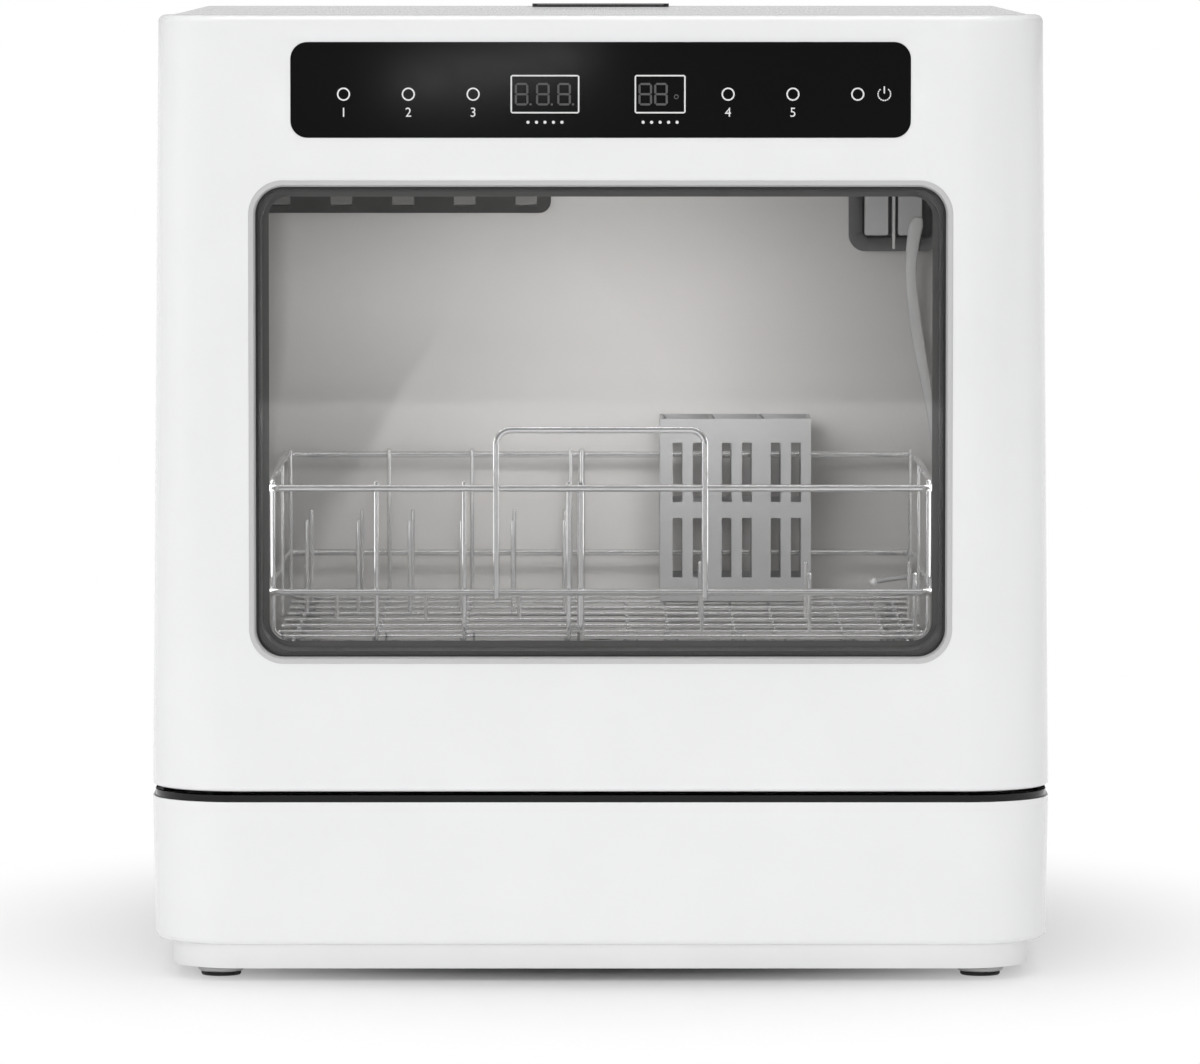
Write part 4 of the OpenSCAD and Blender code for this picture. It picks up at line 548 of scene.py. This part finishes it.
SIGN_BESIDE = 12.5 * MM
SIGN_R = 3 * MM
SIGN_ARC = (125, 415)
SIGN_POINTS = 15
SIGN_ARC_W = 0.62 * MM
SIGN_STROKE = (0.2 * MM, 3.8 * MM)
SIGN_STROKE_W = 0.65 * MM
NUMBER_SIZE = 6.2 * MM
NUMBER_DROP = 10.6 * MM

print_front = depth(panel_low.y) - PRINT_T
print_back = depth(panel_low.y) + PRINT_T
key_z = panel_low.z + KEY_RISE


def panel_plate():
    """The panel's section: a straight side and a small rounded front edge."""
    back, face = depth(panel_high.y), depth(panel_low.y)
    turn = np.linspace(0, math.pi / 2, 5)
    rounding = [(-PANEL_EDGE * (1 - math.cos(a)), face + PANEL_EDGE * (1 - math.sin(a)))
                for a in turn]
    rectangle = (panel_low.x, panel_high.x, panel_low.z, panel_high.z)
    new_piece("panel_plate", [carried(rectangle, PANEL_R, [(0, back)] + rounding, 14, plate=True)],
              "door", "fascia_black", stands_for=("control_fascia",), sharp=50)


def line_section(line):
    """The section of a printed line that lies inside its outline."""
    return [(0, print_back), (0, print_front), (-line, print_front), (-line, print_back)]


def printed_ring(x, z, radius, line):
    """A flat ring: a rectangle's four corners of the ring's own radius, without sides."""
    return carried((x - radius, x + radius, z - radius, z + radius), radius * ALL_ROUND,
                   line_section(line), 12)


def printed_frame(x0, x1, z0, z1):
    """A thin rectangular outline."""
    return carried((x0, x1, z0, z1), FRAME_R, line_section(LINE), 1)


def bar(x0, z0, x1, z1, width):
    """A flat bar between two points, with pointed ends."""
    start, end = np.array([x0, z0]), np.array([x1, z1])
    along = (end - start) / np.linalg.norm(end - start)
    side = np.array([-along[1], along[0]]) * width / 2
    tip = along * width / 2
    flat = np.array([start, start + tip + side, end - tip + side, end, end - tip - side,
                     start + tip - side])
    front = np.insert(flat, 1, FRONT_Y + print_front, axis=1)
    back = np.insert(flat, 1, FRONT_Y + print_back, axis=1)
    return np.concatenate([front, back]), stack_faces(2, len(flat))


def digit(x, z):
    """The seven bars of one digit about its middle."""
    w, h, gap = DIGIT_W / 2, DIGIT_H / 2, DIGIT_GAP
    bars = [bar(x - w + gap, z + k * h, x + w - gap, z + k * h, DIGIT_LINE) for k in (-1, 0, 1)]
    bars += [bar(x + s * w, z + k * gap, x + s * w, z + k * (h - gap), DIGIT_LINE)
             for s in (-1, 1) for k in (-1, 1)]
    return bars


def dot(x, z, radius):
    """A small round plate."""
    profile = [(0, print_back), (0, print_front)]
    return carried((x - radius, x + radius, z - radius, z + radius), radius * ALL_ROUND, profile,
                   5, plate=True)


def panel_print():
    """Rings round the keys, frames round the displays, digits, and plain marks."""
    z0, z1 = key_z - DISPLAY_H / 2, key_z + DISPLAY_H / 2
    white = [printed_ring(x, key_z, KEY_RING_R, LINE) for x in KEY_XS]
    white += [printed_frame(*side, z0, z1) for side in (LEFT_DISPLAY, RIGHT_DISPLAY)]
    # Under each display a row of dots, and beside the last key a plain on-off sign
    for side in (LEFT_DISPLAY, RIGHT_DISPLAY):
        middle = sum(side) / 2
        white += [dot(middle + i * DOTS_PITCH, key_z - DOTS_DROP, DOTS_R)
                  for i in (-2, -1, 0, 1, 2)]
    sign_x = KEY_XS[-1] + SIGN_BESIDE
    turn = np.radians(np.linspace(*SIGN_ARC, SIGN_POINTS))
    arc = np.stack([sign_x + SIGN_R * np.cos(turn), key_z + SIGN_R * np.sin(turn)], -1)
    white += [bar(*arc[i], *arc[i + 1], SIGN_ARC_W) for i in range(len(arc) - 1)]
    white.append(bar(sign_x, key_z + SIGN_STROKE[0], sign_x, key_z + SIGN_STROKE[1],
                     SIGN_STROKE_W))
    new_piece("panel_marks", white, "door", "fascia_black", material=white_print, sharp=20)
    dim = [b for x in LEFT_DIGITS + RIGHT_DIGITS for b in digit(x, key_z)]
    dim += [dot(x + DIGIT_W * POINT_IN_WIDTHS, key_z - DIGIT_H / 2, POINT_R)
            for x in LEFT_DIGITS]
    dim.append(printed_ring(SMALL_RING_X, key_z - SMALL_RING_DROP, SMALL_RING_R,
                            SMALL_RING_LINE))
    new_piece("display_segments", dim, "door", "display_dark", material=dim_print, sharp=20)


def key_numbers():
    """Plain numbers under the first five keys, from the built-in font."""
    for number, x in enumerate(KEY_XS[:5], 1):
        curve = bpy.data.curves.new(f"key_number_{number}", "FONT")
        curve.body = str(number)
        curve.size = NUMBER_SIZE
        curve.align_x = "CENTER"
        curve.extrude = PRINT_T
        text = bpy.data.objects.new("text", curve)
        bpy.context.scene.collection.objects.link(text)
        bpy.context.view_layer.update()
        mesh = bpy.data.meshes.new_from_object(text)
        bpy.data.objects.remove(text)
        flat = np.empty(len(mesh.vertices) * 3, np.float32)
        mesh.vertices.foreach_get("co", flat)
        flat = flat.reshape(-1, 3)
        placed = np.stack([flat[:, 0] + x, panel_low.y - flat[:, 2],
                           flat[:, 1] + key_z - NUMBER_DROP], -1)
        faces = [list(face.vertices) for face in mesh.polygons]
        new_piece(f"key_number_{number}", [(placed, faces)], "door", "fascia_black",
                  material=white_print, sharp=20)


# --- Basket ---

RAIL_IN = 1.5 * MM
RAIL_R = 1.7 * MM
THIN_R = 1.12 * MM
RAIL_BEND = 6 * MM
LEG_BEND = 5 * MM
WIRE_IN = 2.55 * MM
TIP_OVER_RAIL = 3.4 * MM
FLOOR_DROP = 22.4 * MM
LONG_UNDER_CROSS = 2.1 * MM
CROSS_WIRES = 6
CROSS_IN = 40 * MM
CAGE_IN = 12 * MM
LOW_WIRE_REACH = 14 * MM
RUNNER_WIRE_IN = 6 * MM
UPRIGHT_XS = [-107.5 * MM, -65.4 * MM, -15.3 * MM]
LOW_XS = [x * MM for x in (13, 32.4, 65.2, 84.6, 117.6, 137)]
RUNNER_X = 147.5 * MM
DIVIDER_X = -9.6 * MM
DIVIDER_R = 1.75 * MM
DIVIDER_GAP = 0.05 * MM
HANDLE_HW = 50 * MM
HANDLE_BEND = 7 * MM
HANDLE_R = 1.6 * MM
CROSS_Y, CROSS_X = (0, 1, 0), (1, 0, 0)

basket_hw = rails_high.x - RAIL_IN
basket_y0, basket_y1 = rails_low.y + RAIL_IN, rails_high.y - RAIL_IN
low_rail_z, top_rail_z = rails_low.z + RAIL_IN, rails_high.z - RAIL_IN
cross_z = low_rail_z - FLOOR_DROP
long_z = cross_z - LONG_UNDER_CROSS
leg_top = top_rail_z + TIP_OVER_RAIL
cross_ys = np.linspace(basket_y0 + CROSS_IN, basket_y1 - CROSS_IN, CROSS_WIRES)


def basket_rings():
    """The two rails: closed loops with bent corners."""
    loops = []
    for z in (low_rail_z, top_rail_z):
        corners = [(basket_hw, basket_y0, z), (basket_hw, basket_y1, z),
                   (-basket_hw, basket_y1, z), (-basket_hw, basket_y0, z)]
        path = bent(corners, RAIL_BEND, closed=True, steps=10)
        loops.append(tube(path, RAIL_R, (0, 0, 1), closed=True, sides=18))
    new_piece("basket_rings", loops, "basket", "wire_chrome", stands_for=("basket_rails",))


def basket_cage():
    """Bent wires that run up in front, along the floor and up at the back, and across."""
    wires = []
    y0, y1 = basket_y0 + WIRE_IN, basket_y1 - WIRE_IN
    for x in UPRIGHT_XS:
        corners = [(x, y0, leg_top), (x, y0, long_z), (x, y1, long_z), (x, y1, leg_top)]
        wires.append(tube(bent(corners, LEG_BEND), THIN_R, CROSS_X))
    reach = RAIL_R + DIVIDER_R + DIVIDER_GAP
    z = long_z + DIVIDER_R - THIN_R
    corners = [(DIVIDER_X, basket_y0 + reach, leg_top), (DIVIDER_X, basket_y0 + reach, z),
               (DIVIDER_X, basket_y1 - reach, z), (DIVIDER_X, basket_y1 - reach, leg_top)]
    wires.append(tube(bent(corners, LEG_BEND), DIVIDER_R, CROSS_X, sides=18))
    side_x = basket_hw - WIRE_IN
    for y in (basket_y0 + CAGE_IN, basket_y1 - CAGE_IN):
        corners = [(-side_x, y, leg_top), (-side_x, y, cross_z), (side_x, y, cross_z),
                   (side_x, y, leg_top)]
        wires.append(tube(bent(corners, LEG_BEND), THIN_R, CROSS_Y))
    middle_y = (basket_y0 + basket_y1) / 2
    for side in (-1, 1):
        straight = [(side * side_x, middle_y, cross_z), (side * side_x, middle_y, leg_top)]
        wires.append(tube(straight, THIN_R, CROSS_Y))
    low_y0, low_y1 = cross_ys[0] - LOW_WIRE_REACH, basket_y1 - CAGE_IN
    for x in LOW_XS:
        wires.append(tube([(x, low_y0, long_z), (x, low_y1, long_z)], THIN_R, CROSS_X))
    runner_y0, runner_y1 = basket_y0 + RUNNER_WIRE_IN, basket_y1 - RUNNER_WIRE_IN
    for x in (-RUNNER_X, RUNNER_X):
        wires.append(tube([(x, runner_y0, long_z), (x, runner_y1, long_z)], THIN_R, CROSS_X))
    end_x = side_x - THIN_R
    for y in cross_ys:
        wires.append(tube([(-end_x, y, cross_z), (end_x, y, cross_z)], THIN_R, CROSS_Y))
    new_piece("basket_cage", wires, "basket", "wire_chrome",
              stands_for=("basket_uprights", "basket_floor"))


def basket_grip():
    """The handle: one wire bent over in front of the rails."""
    low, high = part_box("basket_handle")
    y = (low.y + high.y) / 2
    top = high.z - HANDLE_R
    corners = [(-HANDLE_HW, y, low.z), (-HANDLE_HW, y, top), (HANDLE_HW, y, top),
               (HANDLE_HW, y, low.z)]
    new_piece("basket_grip", [tube(bent(corners, HANDLE_BEND), HANDLE_R, CROSS_Y, sides=20)],
              "basket", "wire_chrome", stands_for=("basket_handle",))


# --- Chamber: outlet tabs, inlet blocks, feed pipe, level probe ---

OUTLET_TABS = 5
OUTLET_PITCH = 31.4 * MM
TAB_INSET = 3.1 * MM
TAB_W = 11.2 * MM
TAB_FOOT = 4.2 * MM
TAB_HEAD = 4.4 * MM
TAB_PROUD = 0.5 * MM
TAB_DEEP = 4 * MM
TAB_R = 0.8 * MM
BLOCK_XS = (7.8 * MM, 24.9 * MM)
BLOCK_W = 12.2 * MM
BLOCK_FOOT = 8.0 * MM
BLOCK_HEAD = 2.8 * MM
BLOCK_SUNK = 1.2 * MM
BLOCK_DEEP = 9 * MM
BLOCK_R = 1.2 * MM
BLOCK_EDGE = 0.4 * MM
RIB_X = 21.9 * MM
RIB_W = 1.5 * MM
RIB_FOOT = 1.2 * MM
RIB_PROUD = 0.6 * MM
RIB_R = 0.5 * MM
RIB_EDGE = 0.3 * MM


def block_at(x0, x1, z0, z1, front, back, radius, edge=BLOCK_EDGE):
    """A plate with round corners and a rounded front edge, from its back to its front."""
    turn = np.linspace(0, math.pi / 2, 4)
    rounding = [(-edge * (1 - math.cos(a)), depth(front) + edge * (1 - math.sin(a)))
                for a in turn]
    return carried((x0, x1, z0, z1), radius, [(0, depth(back))] + rounding, 5, plate=True)


def outlet_tabs():
    """The pale tabs that hang in the outlet's slots."""
    low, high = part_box("air_outlet")
    tabs = []
    for i in range(OUTLET_TABS):
        x = low.x + TAB_INSET + i * OUTLET_PITCH
        tabs.append(block_at(x, x + TAB_W, low.z + TAB_FOOT, high.z - TAB_HEAD,
                             low.y - TAB_PROUD, low.y + TAB_DEEP, TAB_R))
    new_piece("outlet_tabs", tabs, "cabinet", "duct_dark", material=tab_grey)


def inlet_blocks():
    """Two pale blocks and a rib in the inlet bracket's pocket."""
    low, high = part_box("water_inlet_box")
    back, top = low.y + BLOCK_DEEP, high.z - BLOCK_HEAD
    blocks = [block_at(low.x + x, low.x + x + BLOCK_W, low.z + BLOCK_FOOT, top,
                       low.y + BLOCK_SUNK, back, BLOCK_R) for x in BLOCK_XS]
    new_piece("inlet_blocks", blocks, "cabinet", "pipe_pale", material=block_grey)
    rib_x = low.x + RIB_X
    rib = block_at(rib_x, rib_x + RIB_W, low.z + RIB_FOOT, top, low.y - RIB_PROUD, back, RIB_R,
                   RIB_EDGE)
    new_piece("inlet_rib", [rib], "cabinet", "pipe_pale")


PIPE_X = np.array([161.5, 159.2, 157.6, 160.4, 163.2, 166.3, 169.4, 170.6, 170.2, 168.6, 167.5,
                   167.3]) * MM
PIPE_Z = np.array([350.6, 341.5, 321.6, 296.2, 279.5, 262.2, 242.0, 216.5, 194.2, 177.4, 163.7,
                   154.5]) * MM
PIPE_HALF_W = np.array([3.9, 3.4, 2.9, 3.1, 2.9, 2.5, 1.9, 1.4, 1.25, 1.0, 0.95, 0.95]) * MM
PIPE_HALF_T = 1.3 * MM
PIPE_STEPS = 6
PIPE_SIDES = 16
PIPE_BEFORE = 0.3 * MM
PIPE_LEAN_H = 40 * MM
# The pipe's end rings are this share of its size, and each ring after them is so much larger
PIPE_END = 0.55
PIPE_END_STEP = 0.15


def feed_pipe():
    """A flattened pipe along a smooth curve through the bends.

    Between two bends the place and the width run by a cubic whose slope at each bend is half the
    step between the bends on either side. The pipe starts in front of the bracket and leans back
    to the chamber's wall below it.
    """
    low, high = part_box("feed_pipe")
    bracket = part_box("water_inlet_box")[0]
    before = bracket.y - PIPE_HALF_T - PIPE_BEFORE
    behind = (low.y + high.y) / 2
    lean = np.clip((bracket.z - PIPE_Z) / PIPE_LEAN_H, 0, 1)
    y = before + (behind - before) * lean * lean * (3 - 2 * lean)
    bends = np.stack([PIPE_X, y, PIPE_Z, PIPE_HALF_W], -1)
    bends = np.concatenate([2 * bends[:1] - bends[1:2], bends, 2 * bends[-1:] - bends[-2:-1]])
    a, b, c, d = bends[:-3, None], bends[1:-2, None], bends[2:-1, None], bends[3:, None]
    t = np.linspace(0, 1, PIPE_STEPS, endpoint=False)[None, :, None]
    curve = 0.5 * (2 * b + (c - a) * t + (2 * a - 5 * b + 4 * c - d) * t ** 2
                   + (3 * b - a - 3 * c + d) * t ** 3)
    curve = np.concatenate([curve.reshape(-1, 4), bends[-2:-1]])
    path, half = curve[:, :3], curve[:, 3]
    along = np.gradient(path, axis=0)
    across = np.stack([-along[:, 2], np.zeros(len(along)), along[:, 0]], -1)
    across /= np.linalg.norm(across, axis=1)[:, None]
    end = np.minimum(np.arange(len(path)), np.arange(len(path))[::-1])
    shrink = np.clip(PIPE_END + PIPE_END_STEP * end, 0, 1)
    turn = np.linspace(0, 2 * math.pi, PIPE_SIDES, endpoint=False)
    rings = (path[:, None]
             + across[:, None] * (half * shrink)[:, None, None] * np.cos(turn)[:, None]
             + np.array([0, PIPE_HALF_T, 0]) * shrink[:, None, None] * np.sin(turn)[:, None])
    new_piece("flat_feed_pipe", [(rings, stack_faces(len(path), PIPE_SIDES))], "cabinet",
              "pipe_pale", stands_for=("feed_pipe",), sharp=60)


PROBE_RISE = 3.5 * MM
PROBE_TIP_UP = 2.5 * MM
PROBE_TIP_R = 2.1 * MM
PROBE_ROD_R = 1.25 * MM
PROBE_SLOPE = math.radians(8.5)
SEAT_T = 3.5 * MM
SEAT_SIDES = 28
# The seat's section: shares of its thickness, and of its radius there
SEAT_SECTION = [(0, 0.93), (0.25, 1.0), (0.75, 1.0), (1.0, 0.93)]
BALL_RINGS = 12
BALL_SIDES = 20
# The last rings' latitude, short of a quarter turn
BALL_POLE = 1.45


def ball(centre, radius):
    """A sphere as a grid over latitude and longitude, with small flats at its poles."""
    rise = np.linspace(-BALL_POLE, BALL_POLE, BALL_RINGS)[:, None]
    turn = np.linspace(0, 2 * math.pi, BALL_SIDES, endpoint=False)
    points = np.stack([np.sin(rise) + np.zeros(BALL_SIDES), np.cos(rise) * np.cos(turn),
                       np.cos(rise) * np.sin(turn)], -1)
    return np.array(centre) + radius * points, stack_faces(BALL_RINGS, BALL_SIDES)


def level_rod():
    """The level probe: a sloping rod with a white end, and its seat on the chamber's wall.

    The seat is a stack of circles of the section's radii, at its shares of the thickness.
    """
    low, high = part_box("level_probe")
    y = (low.y + high.y) / 2
    tip = np.array([low.x + PROBE_TIP_R, y, low.z + PROBE_TIP_UP + PROBE_RISE])
    reach = high.x - SEAT_T - tip[0]
    foot = tip + np.array([reach, 0, reach * math.tan(PROBE_SLOPE)])
    deep, wide = np.array(SEAT_SECTION).T[:, :, None]
    radius = (high.z - low.z) / 2 * wide
    turn = np.linspace(0, 2 * math.pi, SEAT_SIDES, endpoint=False)
    seat = np.stack([foot[0] + SEAT_T * deep + np.zeros(SEAT_SIDES), y + radius * np.cos(turn),
                     foot[2] + radius * np.sin(turn)], -1)
    rod = tube([tip, (tip + foot) / 2, foot], PROBE_ROD_R, CROSS_Y, dome=False)
    new_piece("level_rod", [rod, (seat, stack_faces(len(seat), SEAT_SIDES))], "cabinet",
              slot_of["level_probe"], stands_for=("level_probe",))
    new_piece("level_rod_end", [ball(tip, PROBE_TIP_R)], "cabinet", slot_of["level_probe"],
              material=probe_white)


# --- Basket's clear clips ---

CORNER_LEG_X = -157.4 * MM
CLIP_XS = [CORNER_LEG_X] + UPRIGHT_XS + LOW_XS
LOW_CLIP_IN = CROSS_IN - 12 * MM
CLIP_LEFT = 1.6 * MM
CLIP_RIGHT = 4.6 * MM
CLIP_DROP = 5.6 * MM
CLIP_LEFT_RISE = 2.4 * MM
CLIP_RIGHT_RISE = 0.5 * MM
LEG_CLIP_RIGHT_RISE = 5.2 * MM
CLIP_BEND = 1.2 * MM
CLIP_HALF_T = 0.55 * MM
CLIP_WIDTH_IN_T = 5.0


def clear_clips():
    """Small clear hooks under the wires' front ends, which rise higher beside a leg."""
    clips = []
    for x in CLIP_XS:
        leg = x < 0
        y = basket_y0 + (WIRE_IN if leg else LOW_CLIP_IN)
        left, right, lower = x - CLIP_LEFT, x + CLIP_RIGHT, long_z - CLIP_DROP
        path = [(left, y, long_z + CLIP_LEFT_RISE), (left, y, lower), (right, y, lower),
                (right, y, long_z + (LEG_CLIP_RIGHT_RISE if leg else CLIP_RIGHT_RISE))]
        clips.append(tube(bent(path, CLIP_BEND, steps=4), CLIP_HALF_T, CROSS_Y, sides=10,
                          flat=CLIP_WIDTH_IN_T, dome=False))
    new_piece("clear_clips", clips, "basket", "glide_clear")


# --- All pieces: what isn't made anew keeps the CAD's shape ---

window_ring()
pane_border()
panel_plate()
panel_print()
key_numbers()
basket_rings()
basket_cage()
basket_grip()
outlet_tabs()
inlet_blocks()
feed_pipe()
level_rod()
clear_clips()

REPLACED = {"window_trim", "control_fascia", "basket_rails", "basket_uprights", "basket_floor",
            "basket_handle", "feed_pipe", "level_probe"}
for node in frame["nodes"]:
    if node not in REPLACED:
        smoothed(node)

# --- Floor, light and surroundings ---

FLOOR_R = 40.0
FLOOR_SIDES = 96
FLOOR_SINK = 0.0002
FLOOR_TONE = 0.97
FLOOR_ROUGH = 0.22
FLOOR_SPECULAR = 0.35
# Metres from the middle between which the floor fades to white, and how much sooner sideways
FADE_FROM = 0.16
FADE_TO = 0.50
FADE_NARROWER = 1.25
# Places along Y between which the floor turns white as a mirroring surface sees it
MIRROR_FROM = -2.5
MIRROR_TO = -0.4


def pale_floor():
    """A wide disc whose pale surface fades to the white surroundings away from the object."""
    turn = np.linspace(0, 2 * math.pi, FLOOR_SIDES, endpoint=False)
    rim = np.stack([FLOOR_R * np.cos(turn), FLOOR_R * np.sin(turn),
                    np.full(FLOOR_SIDES, -FLOOR_SINK)], -1)
    mesh = bpy.data.meshes.new("floor")
    mesh.from_pydata(rim.tolist(), [], [list(range(FLOOR_SIDES))])
    material = bpy.data.materials.new("pale_floor")
    nodes = Nodes(material)
    surface = nodes.add("ShaderNodeBsdfPrincipled")
    surface.inputs["Base Color"].default_value = (FLOOR_TONE, FLOOR_TONE, FLOOR_TONE, 1)
    surface.inputs["Roughness"].default_value = FLOOR_ROUGH
    surface.inputs["Specular IOR Level"].default_value = FLOOR_SPECULAR
    white = nodes.add("ShaderNodeEmission")
    white.inputs["Strength"].default_value = 1.0
    oval = nodes.add("ShaderNodeMapping")
    oval.inputs["Scale"].default_value = (FADE_NARROWER, 1, 1)
    nodes.link(nodes.read("ShaderNodeTexCoord", "Object"), oval.inputs["Vector"])
    far = nodes.add("ShaderNodeVectorMath", operation="LENGTH")
    nodes.link(oval.outputs["Vector"], far.inputs[0])
    fade = nodes.ramp(far.outputs["Value"], FADE_FROM, FADE_TO)
    # A mirroring surface sees it white beside and behind the object, and darker in front
    axes = nodes.add("ShaderNodeSeparateXYZ")
    nodes.link(nodes.read("ShaderNodeTexCoord", "Object"), axes.inputs[0])
    ahead = nodes.ramp(axes.outputs["Y"], MIRROR_FROM, MIRROR_TO)
    ray = nodes.add("ShaderNodeLightPath")
    mirrored = nodes.reckon("MULTIPLY", ahead, ray.outputs["Is Glossy Ray"])
    seen = nodes.reckon("ADD", ray.outputs["Is Camera Ray"], mirrored, clamp=True)
    pale = nodes.blend_shaders(nodes.reckon("MULTIPLY", fade, seen), surface.outputs["BSDF"],
                               white.outputs["Emission"])
    # From below, the floor lets the underside be seen
    nodes.end(nodes.blend_shaders(nodes.read("ShaderNodeNewGeometry", "Backfacing"), pale,
                                  nodes.read("ShaderNodeBsdfTransparent", "BSDF")))
    mesh.materials.append(material)
    floor = bpy.data.objects.new("floor", mesh)
    bpy.context.scene.collection.objects.link(floor)


WORLD_LIGHT = 0.336
MIRRORED_DARK = 0.256
MIRRORED_PALE = 0.58
MIRRORED_RIGHT = 0.5
# Directions, as shares along Y and along X, between which the mirrored tones change
DARK_UNTIL_Y, PALE_FROM_Y = -0.85, -0.15
LEFT_UNTIL_X, RIGHT_FROM_X = 0.0, 0.9


def surroundings():
    """White where the camera or a pane looks out, and softer as light and in mirrors."""
    world = bpy.data.worlds.new("surroundings")
    bpy.context.scene.world = world
    nodes = Nodes(world)

    def background(strength=0.0):
        node = nodes.add("ShaderNodeBackground")
        node.inputs["Color"].default_value = (1, 1, 1, 1)
        node.inputs["Strength"].default_value = strength
        return node

    # What gloss mirrors: pale behind the object, darker in front and on the right
    axes = nodes.add("ShaderNodeSeparateXYZ")
    nodes.link(nodes.read("ShaderNodeTexCoord", "Generated"), axes.inputs[0])
    shade = nodes.ramp(axes.outputs["Y"], DARK_UNTIL_Y, PALE_FROM_Y, MIRRORED_DARK, MIRRORED_PALE)
    side = nodes.ramp(axes.outputs["X"], LEFT_UNTIL_X, RIGHT_FROM_X, 1.0, MIRRORED_RIGHT)
    mirrored = background()
    nodes.link(nodes.reckon("MULTIPLY", shade, side), mirrored.inputs["Strength"])
    ray = nodes.add("ShaderNodeLightPath")
    unseen = nodes.blend_shaders(ray.outputs["Is Glossy Ray"],
                                 background(WORLD_LIGHT).outputs["Background"],
                                 mirrored.outputs["Background"])
    seen = nodes.reckon("ADD", ray.outputs["Is Camera Ray"], ray.outputs["Is Transmission Ray"],
                        clamp=True)
    nodes.end(nodes.blend_shaders(seen, unseen, background(1.0).outputs["Background"]),
              "ShaderNodeOutputWorld")


def softbox(name, place, aim, width, height, power, roll=0.0, mirrored=True, spread=180):
    """A rectangular lamp that faces a point and isn't seen itself.

    power is in watts, spread is its beam's angle, and mirrored says whether gloss shows it.
    """
    data = bpy.data.lights.new(name, "AREA")
    data.shape = "RECTANGLE"
    data.size, data.size_y = width, height
    data.energy = power
    data.spread = math.radians(spread)
    lamp = bpy.data.objects.new(name, data)
    bpy.context.scene.collection.objects.link(lamp)
    lamp.location = place
    lamp.rotation_euler = (Vector(aim) - Vector(place)).to_track_quat("-Z", "Y").to_euler()
    lamp.rotation_euler.rotate_axis("Z", roll)
    lamp.visible_camera = False
    lamp.visible_glossy = mirrored


pale_floor()
surroundings()

# Each lamp's name, place, aim, width, height and power
MIDDLE = (0, 0, 0.22)
CHAMBER_SIDE_X = 0.173
softbox("key_left", (-1.9, -3.8, 1.0), MIDDLE, 1.8, 1.6, 12, mirrored=False)
softbox("fill_right", (1.9, -3.8, 0.9), MIDDLE, 1.8, 1.6, 7, mirrored=False)
softbox("front", (0, -5.2, 0.55), MIDDLE, 3.2, 1.4, 87, mirrored=False)
softbox("overhead", (0, -0.4, 2.6), MIDDLE, 2.0, 1.6, 29)
softbox("side_left", (-2.6, 0.0, 0.8), MIDDLE, 1.2, 1.6, 16, mirrored=False)
softbox("side_right", (2.6, 0.0, 0.8), MIDDLE, 1.2, 1.6, 8, mirrored=False)
softbox("chamber", (0.03, -0.12, 0.335), (0.03, 0.12, 0.24), 0.10, 0.08, 0.138, mirrored=False,
        spread=110)
softbox("chamber_line", (0, -0.150, 0.362), (0, -0.09, 0.16), 0.32, 0.008, 0.06)
for side in (-1, 1):
    softbox(f"chamber_side_{side + 1}", (side * CHAMBER_SIDE_X, -0.13, 0.22), (0, -0.13, 0.21),
            0.07, 0.16, 0.085)
softbox("panel_sheen", (-0.145, -8.0, 0.297), (-0.145, 0, 0.3), 0.26, 0.03, 0.165, 0.15)
